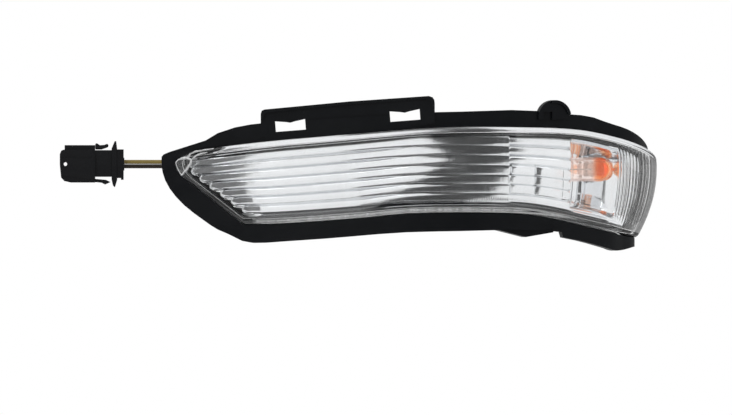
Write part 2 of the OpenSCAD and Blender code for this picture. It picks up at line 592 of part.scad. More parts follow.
// Connector, at the end of the lead; the mating face looks along -X
socket_gap = 5;
socket_w = 2.4;
collar_x = -94.7;
plug_top = lead_z + connector_h / 2 - 0.8;
plug_low = plug_top - connector_h;
module at_plug(x) translate([x, plug_y, lead_z]) children();
module plug_block(x0, x1, z0, z1, d) translate([x0, plug_y - d / 2, z0]) cube([x1 - x0, d, z1 - z0]);
module connector_housing() color("#1b1c1f") difference() {
    union() {
        translate([0, plug_y - connector_d / 2, 0]) upright(connector_d) polygon([
            [-115.4, plug_top - 6], [-115.4, plug_top - 1.8], [-114.8, plug_top - 0.4], [-113.8, plug_top],
            [-101.3, plug_top], [-101.3, plug_low], [-111, plug_low], [-113.6, plug_low + 0.6],
            [-114.9, plug_low + 2]]);
        plug_block(-101.4, collar_x, plug_low + 2.3, plug_top - 0.2, connector_d - 1.6);
        plug_block(-113.5, -101.3, plug_top - 0.3, plug_top + 1.8, 4.6);
        plug_block(collar_x - 0.1, collar_x + 1.2, lead_z - 4.8, lead_z + 4.2, 6.2);
        translate([0, plug_y - 2.6, 0]) upright(5.2) polygon([
            [-101.5, plug_low + 0.2], [-101.5, plug_low + 1.5], [-97, plug_low + 1.1],
            [-95.1, plug_low + 0.2], [-97.3, plug_low - 0.8], [-98.6, plug_low - 0.1]]);
        translate([0, plug_y - connector_d / 2 - 0.4, 0]) upright(0.5)
            polygon([[-115, plug_low + 3], [-115, plug_top - 3.2],
                [-101.3, plug_top - 3.2], [-101.3, plug_low + 1]]);
    }
    for (side = [-1, 1]) at_plug(0) translate([-116, -socket_w / 2, side * socket_gap / 2 - socket_w / 2])
        cube([16, socket_w, socket_w]);
    at_plug(0) translate([-100.5, -1.9, -4]) cube([10, 3.8, 8]);
    at_plug(-113.2) rotate([90, 0, 0]) cylinder(d = 1.5, h = 30, center = true);
}
module connector_lock() color("#222327") translate([0, plug_y - 2.6, 0]) upright(5.2) polygon([
    [-101.2, plug_top + 0.05], [-101.2, plug_top + 2.4], [-100.6, plug_top + 2.6],
    [-99.4, plug_top + 1.8], [-97.6, plug_top + 1.9], [-96.4, plug_top + 2.4], [-95.9, plug_top + 1.8],
    [-96.1, plug_top + 1], [-97.4, plug_top + 0.5], [-98.8, plug_top + 0.05]]);
module connector_collar() color("#1b1c1f") difference() {
    union() {
        translate([0, plug_y - 4.4, 0]) upright(8.8) polygon([
            [collar_x + 0.05, lead_z - 6.2], [collar_x + 0.6, lead_z - 8.6], [collar_x + 1.3, lead_z - 9.3],
            [collar_x + 2.2, lead_z - 6.4], [collar_x + 2.2, lead_z + 6], [collar_x + 1.8, lead_z + 9.2],
            [collar_x + 1.3, lead_z + 9.2], [collar_x + 0.05, lead_z + 6.2]]);
        plug_block(collar_x + 2, plug_exit, lead_z - 5.6, lead_z + 5.9, 8);
        plug_block(plug_exit - 1, plug_exit, lead_z - 6.3, lead_z - 5.5, 6);
    }
    plug_block(collar_x - 1, collar_x + 1.25, lead_z - 4.85, lead_z + 4.25, 6.3);
    plug_block(collar_x - 1, plug_exit + 1, lead_z - 2.6, lead_z + 2.6, 3.8);
}
module wire_grommet() color("#4a4a46") difference() {
    plug_block(collar_x + 1.4, plug_exit + 0.3, lead_z - 2.55, lead_z + 2.55, 3.7);
    for (side = [-1, 1]) at_plug(-96) translate([0, 0, side * 0.88]) rotate([0, 90, 0])
        cylinder(d = wire_d + 0.1, h = 9);
}
module terminal(side) at_plug(0) translate([0, 0, side * socket_gap / 2]) {
    difference() {
        translate([-113.6, -1.1, -1.1]) cube([9.2, 2.2, 2.2]);
        translate([-114, -0.75, -0.75]) cube([10, 1.5, 1.5]);
    }
    translate([-104.6, 0, 0]) rotate([0, 90, 0]) difference() {
        cylinder(r = 1.15, h = 3.4);
        translate([0, 0, 0.6]) cylinder(d = wire_d + 0.1, h = 4);
    }
}
module terminal_signal() color("#b5b5b0") terminal(1);
module terminal_ground() color("#b5b5b0") terminal(-1);

housing();
lens();
reflector();
bulb_envelope();
bulb_filament();
bulb_lead_signal();
bulb_lead_ground();
bulb_holder();
holder_contact_signal();
holder_contact_ground();
holder_seal();
vent_membrane();
wire_signal();
wire_ground();
wire_grommet();
connector_housing();
connector_collar();
connector_lock();
terminal_signal();
terminal_ground();
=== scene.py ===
"""Looks of the side repeater lamp: lens, metallised reflector, amber bulb, black housing, lead and plug.

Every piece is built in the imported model's own frame: +X outboard, -Y towards the viewer, +Z up. A place on
the lamp is its distance s along the front face, its depth u behind that face and its height z, all in
millimetres.
"""

import logging
import math
from dataclasses import dataclass, field
from enum import Enum
from typing import Callable, Optional, Sequence

import bmesh
import bpy
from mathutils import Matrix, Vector

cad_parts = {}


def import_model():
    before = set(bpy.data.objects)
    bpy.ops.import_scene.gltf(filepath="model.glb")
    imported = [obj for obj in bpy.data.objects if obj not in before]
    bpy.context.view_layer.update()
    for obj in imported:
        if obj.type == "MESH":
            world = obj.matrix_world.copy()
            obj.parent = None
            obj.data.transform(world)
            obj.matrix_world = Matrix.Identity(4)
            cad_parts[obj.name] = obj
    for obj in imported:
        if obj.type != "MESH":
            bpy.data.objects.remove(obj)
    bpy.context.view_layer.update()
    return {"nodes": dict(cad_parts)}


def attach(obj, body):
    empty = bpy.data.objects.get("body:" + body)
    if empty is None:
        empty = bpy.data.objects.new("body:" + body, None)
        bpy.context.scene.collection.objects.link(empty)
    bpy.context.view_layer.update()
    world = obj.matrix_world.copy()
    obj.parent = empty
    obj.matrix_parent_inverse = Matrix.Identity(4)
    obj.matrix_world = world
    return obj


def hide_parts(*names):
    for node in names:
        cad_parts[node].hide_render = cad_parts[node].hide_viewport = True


LOG = logging.getLogger("side_repeater_lamp")
MM = 0.001
BODY = "root"

Colour = tuple[float, float, float]
Span = tuple[float, float]


def mix(a: float, b: float, t: float) -> float:
    """Straight blend from a to b."""
    return a + (b - a) * t


def ease(t: float) -> float:
    """Smooth step from 0 to 1, held outside that range."""
    c = max(0.0, min(1.0, t))
    return c * c * (3 - 2 * c)


def rise(x: float, low: float, high: float) -> float:
    """Smooth step from 0 at low to 1 at high."""
    return ease((x - low) / (high - low))


def steps(stops: Sequence[float], counts: Sequence[int]) -> list[float]:
    """Fills the gaps between stops.

    Args:
        stops: Values in rising order.
        counts: Number of equal steps in each gap.

    Returns:
        Every stop and what lies between them.
    """
    out = [stops[0]]
    for a, b, n in zip(stops, stops[1:], counts):
        out += [mix(a, b, (k + 1) / n) for k in range(n)]
    return out


@dataclass(frozen=True)
class Outline:
    """A smooth curve through points that are listed in rising order of their first number."""

    points: tuple[tuple[float, float], ...]

    def slope(self, i: int) -> float:
        """Slope of the curve at point i."""
        a, b = self.points[max(i - 1, 0)], self.points[min(i + 1, len(self.points) - 1)]
        return (b[1] - a[1]) / (b[0] - a[0])

    def at(self, s: float) -> float:
        """Reads the curve.

        Args:
            s: First number of the place to read.

        Returns:
            The curve's value there.
        """
        i = 0
        while i < len(self.points) - 2 and s >= self.points[i + 1][0]:
            i += 1
        a, b = self.points[i], self.points[i + 1]
        h = b[0] - a[0]
        t = (s - a[0]) / h
        return (a[1] * (1 + 2 * t) * (1 - t) ** 2 + b[1] * t * t * (3 - 2 * t)
                + h * (self.slope(i) * t * (1 - t) ** 2 - self.slope(i + 1) * t * t * (1 - t)))


@dataclass(frozen=True)
class FaceCurve:
    """The lamp's front face, in millimetres: three arcs seen from above, with a crown towards its edges.

    The outlines top and bottom give the height of the lens's edges along the face. The outline side gives
    the distance of its inboard end for each share of its height. At that slanted end an inset counts slant
    times its width.
    """

    face_r: float = 330.0
    shoulder_r: float = 101.0
    wrap_r: float = 34.0
    face_half: float = 13.1
    wrap_turn: float = 35.0
    end_turn: float = 97.0
    stand: float = 8.5
    crown_r: float = 48.0
    crown_z: float = -18.7
    crown_inboard: float = 0.45
    crown_grows: Span = (50.0, 105.0)
    edge_span: float = 31.0
    slant: float = 1.4
    top: Outline = Outline((
        (-75, -13), (-58, -10.9), (-33, -8), (-7, -5.7), (18, -3.5), (32, -2.5), (53, -2.1), (70, -2.2),
        (87, -2.6), (100, -3.7), (115, -6.5), (128, -9.5), (140, -12.6), (151, -16), (160, -19)))
    bottom: Outline = Outline((
        (-75, -41), (-58, -41), (-42, -40.8), (-33, -40.9), (-19, -40.2), (4, -38.5), (22, -36.8),
        (37, -36.3), (62, -36.4), (75, -37.1), (89, -39.1), (103, -41.6), (123, -44.7), (138, -46),
        (151, -46.5), (160, -46.8)))
    side: Outline = Outline((
        (0, -42.6), (0.16, -49), (0.33, -55.5), (0.505, -62), (0.69, -68.1), (0.84, -70.1), (0.92, -68.3),
        (0.975, -63.7), (1, -57.4)))

    @property
    def s_shoulder(self) -> float:
        """Distance along the face at which the shoulder starts."""
        return math.radians(self.face_half) * self.face_r

    @property
    def s_wrap(self) -> float:
        """Distance along the face at which the wrap starts."""
        return self.s_shoulder + math.radians(self.wrap_turn - self.face_half) * self.shoulder_r

    @property
    def s_end(self) -> float:
        """Distance along the face at its outboard end."""
        return self.s_wrap + math.radians(self.end_turn - self.wrap_turn) * self.wrap_r

    def arc(self, s: float) -> tuple[float, float, float, float]:
        """The arc that holds s.

        Args:
            s: Distance along the face, in millimetres.

        Returns:
            Turn in degrees, radius, and the arc centre's x and y.
        """
        turn, radius, start = 0.0, self.face_r, 0.0
        cx, cy = 0.0, self.face_r - self.stand
        for next_start, next_turn, next_radius in ((self.s_shoulder, self.face_half, self.shoulder_r),
                                                   (self.s_wrap, self.wrap_turn, self.wrap_r)):
            if s < next_start:
                break
            a = math.radians(next_turn)
            cx += (radius - next_radius) * math.sin(a)
            cy -= (radius - next_radius) * math.cos(a)
            turn, radius, start = next_turn, next_radius, next_start
        return turn + math.degrees((s - start) / radius), radius, cx, cy

    def place(self, s: float, u: float, z: float) -> Vector:
        """Finds a point of the lamp.

        Args:
            s: Distance along the face.
            u: Depth behind it.
            z: Height.

        Returns:
            The point in the part's frame, in metres.
        """
        t, r, cx, cy = self.arc(s)
        t = math.radians(t)
        return Vector((cx + (r - u) * math.sin(t), cy - (r - u) * math.cos(t), z)) * MM

    def crown(self, s: float, z: float) -> float:
        """How far the face falls back at height z, which is less along the flat inboard stretch."""
        fall = (z - self.crown_z) ** 2 / (2 * self.crown_r)
        return fall * mix(self.crown_inboard, 1.0, rise(s, *self.crown_grows))

    def side_at(self, f: float) -> float:
        """Distance along the face of the lens's inboard end at share f of its height."""
        return self.side.at(max(0.0, min(1.0, f)))

    def share_in(self, inset: float, f: float) -> float:
        """Share of the height that lies an inset in from an edge."""
        return mix(inset / self.edge_span, 1 - inset / self.edge_span, f)


def give_way(s: float, start: float, end: float, power: float = 1.5) -> float:
    """How far a station gives way to the slanted inboard end: wholly at start, not at all past end."""
    return 0.0 if s >= end else ((end - s) / (end - start)) ** power


FACE = FaceCurve()


def finish_mesh(bm: bmesh.types.BMesh, name: str, sharp: float = 35.0) -> bpy.types.Object:
    """Turns a bmesh into a smooth-shaded object, with hard edges kept crisp.

    Args:
        bm: The bmesh, which is freed.
        name: Name of the object.
        sharp: Angle in degrees past which an edge stays crisp.

    Returns:
        The new object, at the origin.
    """
    limit = math.radians(sharp)
    for face in bm.faces:
        face.smooth = True
    for edge in bm.edges:
        edge.smooth = len(edge.link_faces) == 2 and edge.calc_face_angle(0.0) < limit
    mesh = bpy.data.meshes.new(name)
    bm.to_mesh(mesh)
    bm.free()
    obj = bpy.data.objects.new(name, mesh)
    bpy.context.scene.collection.objects.link(obj)
    return obj


def split_loops(edges: set[bmesh.types.BMEdge]) -> list[set[bmesh.types.BMEdge]]:
    """Sorts border edges into separate closed loops.

    Args:
        edges: The border edges.

    Returns:
        The edges of each loop, with the shortest loop first.
    """
    left, loops = set(edges), []
    while left:
        start = left.pop()
        loop, front = {start}, list(start.verts)
        while front:
            v = front.pop()
            for e in v.link_edges:
                if e in left:
                    left.discard(e)
                    loop.add(e)
                    front.append(e.other_vert(v))
        loops.append(loop)
    return sorted(loops, key=len)


def middle_of(edges: set[bmesh.types.BMEdge]) -> Vector:
    """Mean place of the ends of some edges."""
    total = sum((e.verts[0].co + e.verts[1].co for e in edges), Vector())
    return total / (2 * len(edges))


def shaped_shell(name: str, rows: int, cols: int, place: Callable[[int, int, bool], Vector],
                 opened: Optional[Callable[[int, int], bool]] = None,
                 sharp: float = 35.0) -> bpy.types.Object:
    """A closed wall between two grids that are shaped point by point.

    Args:
        name: Name of the object.
        rows: Points along the piece.
        cols: Points across the piece.
        place: The place of point (row, column) of the front skin or, where the last value is true, the back.
        opened: True for a cell that is left out of both skins.
        sharp: Angle in degrees past which an edge stays crisp.

    Returns:
        The shell.
    """
    bm = bmesh.new()
    borders = []
    for back in (False, True):
        verts = bmesh.ops.create_grid(bm, x_segments=rows - 1, y_segments=cols - 1, size=1.0)["verts"]
        where = {v: (round((v.co.x + 1) / 2 * (rows - 1)), round((v.co.y + 1) / 2 * (cols - 1)))
                 for v in verts}
        for v, (i, j) in where.items():
            v.co = place(i, j, back)
        if opened:
            gone = [f for f in bm.faces if f.verts[0] in where
                    and opened(min(where[v][0] for v in f.verts), min(where[v][1] for v in f.verts))]
            bmesh.ops.delete(bm, geom=gone, context="FACES")
            verts = [v for v in verts if v.is_valid]
        borders.append({e for v in verts for e in v.link_edges if e.is_boundary})
    fronts, backs = (split_loops(edges) for edges in borders)
    for front in fronts:
        centre = middle_of(front)
        back_loop = min(backs, key=lambda loop: (middle_of(loop) - centre).length)
        bmesh.ops.bridge_loops(bm, edges=[*front, *back_loop])
    bmesh.ops.recalc_face_normals(bm, faces=bm.faces)
    return finish_mesh(bm, name, sharp)


def tubes(name: str, lines: Sequence[Sequence[Vector]], radius: float, sides: int = 6) -> bpy.types.Object:
    """Round beads along open lines that lie roughly square to the view.

    Args:
        name: Name of the object.
        lines: The beads' centre lines, in metres.
        radius: Radius in millimetres, which tapers to a third at both ends.
        sides: Number of sides.

    Returns:
        The beads.
    """
    bm = bmesh.new()
    for line in lines:
        rings = []
        for k, p in enumerate(line):
            way = (line[min(k + 1, len(line) - 1)] - line[max(k - 1, 0)]).normalized()
            side = way.cross(Vector((0.0, -1.0, 0.0))).normalized()
            out = side.cross(way)
            r = radius * MM * mix(0.33, 1.0, min(1.0, min(k, len(line) - 1 - k) / 2))
            verts = [bm.verts.new(p + r * (math.cos(a) * side + math.sin(a) * out))
                     for a in (2 * math.pi * m / sides for m in range(sides))]
            rings.append([bm.edges.new((a, b)) for a, b in zip(verts, verts[1:] + verts[:1])])
        for a, b in zip(rings, rings[1:]):
            bmesh.ops.bridge_loops(bm, edges=a + b)
        bmesh.ops.holes_fill(bm, edges=rings[0] + rings[-1], sides=sides)
    bmesh.ops.recalc_face_normals(bm, faces=bm.faces)
    return finish_mesh(bm, name, 70.0)


def softened(node: bpy.types.Object, name: str, width: float, angle: float = 40.0) -> bpy.types.Object:
    """A copy of a CAD solid with its doubles merged and its hard edges rounded.

    Args:
        node: The CAD node's object, which is left as it is.
        name: Name of the copy.
        width: Width of the rounding, in millimetres.
        angle: Angle in degrees past which an edge is rounded.

    Returns:
        The copy.
    """
    bm = bmesh.new()
    bm.from_mesh(node.data)
    bmesh.ops.remove_doubles(bm, verts=bm.verts, dist=0.002 * MM)
    bmesh.ops.dissolve_limit(bm, angle_limit=math.radians(0.4), verts=bm.verts, edges=bm.edges)
    obj = finish_mesh(bm, name, 32.0)
    bevel = obj.modifiers.new("edge_round", "BEVEL")
    bevel.limit_method = "ANGLE"
    bevel.angle_limit = math.radians(angle)
    bevel.width = width * MM
    bevel.segments = 2
    bevel.harden_normals = True
    bevel.use_clamp_overlap = True
    return obj


def dress(obj: bpy.types.Object, material: bpy.types.Material) -> bpy.types.Object:
    """Gives an object one material.

    Args:
        obj: The object.
        material: Its only material.

    Returns:
        The same object.
    """
    obj.data.materials.clear()
    obj.data.materials.append(material)
    return obj


def stand_in(obj: bpy.types.Object, node: str) -> bpy.types.Object:
    """Fixes a piece to the lamp's one body, where it takes the place of a CAD node.

    Args:
        obj: The piece.
        node: Name of the CAD node.

    Returns:
        The same piece.
    """
    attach(obj, BODY)
    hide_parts(node)
    return obj


class Pattern(Enum):
    """Shader node groups that more than one finish uses."""

    MOULD_GRAIN = "mould_grain"
    HANDLING = "handling_marks"


PATTERN_SHAPES = {
    Pattern.MOULD_GRAIN: {"Detail": 3.0, "Roughness": 0.6, "From Min": 0.3, "From Max": 0.7},
    Pattern.HANDLING: {"Detail": 6.0, "Roughness": 0.7, "Distortion": 0.8,
                       "From Min": 0.42, "From Max": 0.75},
}


def pattern_group(kind: Pattern) -> bpy.types.NodeTree:
    """Builds a shared shader node group once.

    Args:
        kind: Which group.

    Returns:
        The node group, which spreads a noise on object coordinates between its Low and High inputs.
    """
    tree = bpy.data.node_groups.get(kind.value)
    if tree:
        return tree
    tree = bpy.data.node_groups.new(kind.value, "ShaderNodeTree")
    for name in ("Scale", "Low", "High"):
        tree.interface.new_socket(name, in_out="INPUT", socket_type="NodeSocketFloat")
    tree.interface.new_socket("Value", in_out="OUTPUT", socket_type="NodeSocketFloat")
    nodes, links = tree.nodes, tree.links
    start, end = nodes.new("NodeGroupInput"), nodes.new("NodeGroupOutput")
    coord = nodes.new("ShaderNodeTexCoord")
    noise = nodes.new("ShaderNodeTexNoise")
    spread = nodes.new("ShaderNodeMapRange")
    for socket, value in PATTERN_SHAPES[kind].items():
        node = spread if socket.startswith("From") else noise
        node.inputs[socket].default_value = value
    links.new(coord.outputs["Object"], noise.inputs["Vector"])
    links.new(start.outputs["Scale"], noise.inputs["Scale"])
    links.new(noise.outputs["Fac"], spread.inputs["Value"])
    links.new(start.outputs["Low"], spread.inputs["To Min"])
    links.new(start.outputs["High"], spread.inputs["To Max"])
    links.new(spread.outputs["Result"], end.inputs["Value"])
    return tree


class Shader:
    """A material with one Principled BSDF, to which patterns are wired."""

    def __init__(self, name: str) -> None:
        """Makes the empty material.

        Args:
            name: Name of the material.
        """
        self.material = bpy.data.materials.new(name)
        self.material.use_nodes = True
        self.nodes = self.material.node_tree.nodes
        self.links = self.material.node_tree.links
        self.bsdf = next(n for n in self.nodes if n.type == "BSDF_PRINCIPLED")

    def set(self, **values: object) -> "Shader":
        """Sets constants on the shader's own sockets.

        Args:
            values: Value of each socket, by its name with an underscore for each space.

        Returns:
            This shader.
        """
        for key, value in values.items():
            self.bsdf.inputs[key.replace("_", " ")].default_value = value
        return self

    def pattern(self, kind: Pattern, scale: float, low: float, high: float) -> bpy.types.NodeSocket:
        """Places a shared group and returns its output.

        Args:
            kind: Which group.
            scale: Size of its features, per metre.
            low: Value at the pattern's bottom.
            high: Value at its top.

        Returns:
            The group's value socket.
        """
        group = self.nodes.new("ShaderNodeGroup")
        group.node_tree = pattern_group(kind)
        group.inputs["Scale"].default_value = scale
        group.inputs["Low"].default_value = low
        group.inputs["High"].default_value = high
        return group.outputs["Value"]

    def rough_between(self, scale: float, low: float, high: float) -> None:
        """Lets handling marks of a set scale carry the roughness from low to high."""
        self.links.new(self.pattern(Pattern.HANDLING, scale, low, high), self.bsdf.inputs["Roughness"])

    def colour_between(self, socket: bpy.types.NodeSocket, a: Sequence[float], b: Sequence[float],
                       to: str = "Base Color") -> None:
        """Blends one of the shader's colours by a socket.

        Args:
            socket: The share of b, from 0 to 1.
            a: Colour where the socket is 0.
            b: Colour where it is 1.
            to: Name of the colour's socket on the shader.
        """
        blend = self.nodes.new("ShaderNodeMix")
        blend.data_type = "RGBA"
        blend.inputs[6].default_value = (*a, 1.0)
        blend.inputs[7].default_value = (*b, 1.0)
        self.links.new(socket, blend.inputs[0])
        self.links.new(blend.outputs[2], self.bsdf.inputs[to])

    def bump(self, socket: bpy.types.NodeSocket, distance: float, strength: float = 1.0) -> None:
        """Feeds a height to the shader's normal.

        Args:
            socket: The height, from 0 to 1.
            distance: What a height of 1 stands for, in millimetres.
            strength: Share of the effect.
        """
        node = self.nodes.new("ShaderNodeBump")
        node.inputs["Strength"].default_value = strength
        node.inputs["Distance"].default_value = distance * MM
        self.links.new(socket, node.inputs["Height"])
        self.links.new(node.outputs["Normal"], self.bsdf.inputs["Normal"])

    def along(self, axis: str, start: float, end: float) -> bpy.types.NodeSocket:
        """A value that runs from 0 to 1 along one object axis.

        Args:
            axis: X, Y or Z.
            start: Where it is 0, in millimetres.
            end: Where it is 1, in millimetres.

        Returns:
            The value's socket.
        """
        coord = self.nodes.new("ShaderNodeTexCoord")
        split = self.nodes.new("ShaderNodeSeparateXYZ")
        spread = self.nodes.new("ShaderNodeMapRange")
        spread.interpolation_type = "SMOOTHSTEP"
        spread.inputs["From Min"].default_value = start * MM
        spread.inputs["From Max"].default_value = end * MM
        self.links.new(coord.outputs["Object"], split.inputs["Vector"])
        self.links.new(split.outputs[axis], spread.inputs["Value"])
        return spread.outputs["Result"]


@dataclass(frozen=True)
class MouldedPlastic:
    """Opaque moulded plastic with a fine spark-eroded grain, a little lighter where hands have rubbed it."""

    name: str
    colour: Colour
    rub: Colour
    roughness: float = 0.42
    grain: float = 0.012
    grain_scale: float = 1900.0
    specular: float = 0.3

    def build(self) -> bpy.types.Material:
        """Makes the material.

        Returns:
            The material.
        """
        shader = Shader(self.name).set(Specular_IOR_Level=self.specular)
        shader.colour_between(shader.pattern(Pattern.HANDLING, 60, 0, 1), self.colour, self.rub)
        shader.rough_between(90, self.roughness - 0.05, self.roughness + 0.07)
        shader.bump(shader.pattern(Pattern.MOULD_GRAIN, self.grain_scale, 0, 1), self.grain)
        return shader.material


@dataclass(frozen=True)
class ClearAcrylic:
    """Polished clear lens plastic."""

    name: str
    tint: Colour = (0.985, 0.99, 0.99)
    ior: float = 1.49

    def build(self) -> bpy.types.Material:
        """Makes the material.

        Returns:
            The material.
        """
        shader = Shader(self.name).set(Transmission_Weight=1.0, IOR=self.ior, Base_Color=(*self.tint, 1.0))
        shader.rough_between(120, 0.0, 0.035)
        return shader.material


@dataclass(frozen=True)
class PaleHighlightAcrylic:
    """Pale, partly clear plastic whose whiteness paints the highlights along the lens's edges and on the
    boss's rims.
    """

    name: str
    tint: Colour = (0.97, 0.975, 0.98)
    ior: float = 1.49
    clear: float = 0.35

    def build(self) -> bpy.types.Material:
        """Makes the material.

        Returns:
            The material.
        """
        shader = Shader(self.name).set(Transmission_Weight=self.clear, IOR=self.ior,
                                       Base_Color=(*self.tint, 1.0))
        shader.rough_between(300, 0.22, 0.4)
        return shader.material


@dataclass(frozen=True)
class Metallised:
    """Plastic with a bright vacuum-deposited metal face."""

    name: str
    colour: Colour = (0.86, 0.87, 0.885)
    dull: float = 0.93
    roughness: float = 0.11

    def build(self) -> bpy.types.Material:
        """Makes the material.

        Returns:
            The material.
        """
        shader = Shader(self.name).set(Metallic=1.0)
        shader.colour_between(shader.pattern(Pattern.HANDLING, 45, 0, 1), self.colour,
                              tuple(self.dull * c for c in self.colour))
        shader.rough_between(70, self.roughness - 0.03, self.roughness + 0.04)
        shader.bump(shader.pattern(Pattern.MOULD_GRAIN, 260, 0, 1), 0.02, 0.25)
        return shader.material


@dataclass(frozen=True)
class AmberGlass:
    """Amber-coated bulb glass, pale at the base and dense at the tip, with a faint painted glow in the
    coat's colours that stands in for light inside the bowl.
    """

    name: str
    pale: Colour = (1.0, 0.965, 0.945)
    dense: Colour = (1.0, 0.56, 0.27)
    # The next three values paint a faint glow into the unlit glass, standing in for light inside the bowl.
    pale_glow: Colour = (1.0, 0.72, 0.62)
    dense_glow: Colour = (1.0, 0.16, 0.02)
    painted_glow: float = 0.08
    coat_from: float = 97.0
    coat_to: float = 100.5

    def build(self) -> bpy.types.Material:
        """Makes the material.

        Returns:
            The material.
        """
        # The emission is a painted glow, since the bulb is not lit.
        shader = Shader(self.name).set(Transmission_Weight=0.93, IOR=1.3, Roughness=0.03,
                                       Emission_Strength=self.painted_glow)
        for a, b, to in ((self.pale, self.dense, "Base Color"),
                         (self.pale_glow, self.dense_glow, "Emission Color")):
            shader.colour_between(shader.along("X", self.coat_from, self.coat_to), a, b, to)
        return shader.material


@dataclass(frozen=True)
class StampedMetal:
    """Rolled and stamped or drawn metal, with fine drawing lines."""

    name: str
    colour: Colour
    dull: float = 0.7
    roughness: float = 0.28

    def build(self) -> bpy.types.Material:
        """Makes the material.

        Returns:
            The material.
        """
        shader = Shader(self.name).set(Metallic=1.0)
        shader.colour_between(shader.pattern(Pattern.HANDLING, 400, 0, 1), self.colour,
                              tuple(self.dull * c for c in self.colour))
        shader.rough_between(700, self.roughness - 0.08, self.roughness + 0.1)
        shader.bump(shader.pattern(Pattern.MOULD_GRAIN, 3000, 0, 1), 0.004)
        return shader.material


@dataclass(frozen=True)
class SoftSkin:
    """Soft moulded or extruded skin, such as a seal, a grommet or a wire's insulation."""

    name: str
    colour: Colour
    roughness: float = 0.5
    sheen: float = 0.0

    def build(self) -> bpy.types.Material:
        """Makes the material.

        Returns:
            The material.
        """
        shader = Shader(self.name).set(Sheen_Weight=self.sheen, Specular_IOR_Level=0.35)
        shader.colour_between(shader.pattern(Pattern.HANDLING, 150, 0, 1), self.colour,
                              tuple(min(1.0, 1.25 * c + 0.004) for c in self.colour))
        shader.rough_between(220, self.roughness - 0.06, self.roughness + 0.1)
        shader.bump(shader.pattern(Pattern.MOULD_GRAIN, 2600, 0, 1), 0.006)
        return shader.material


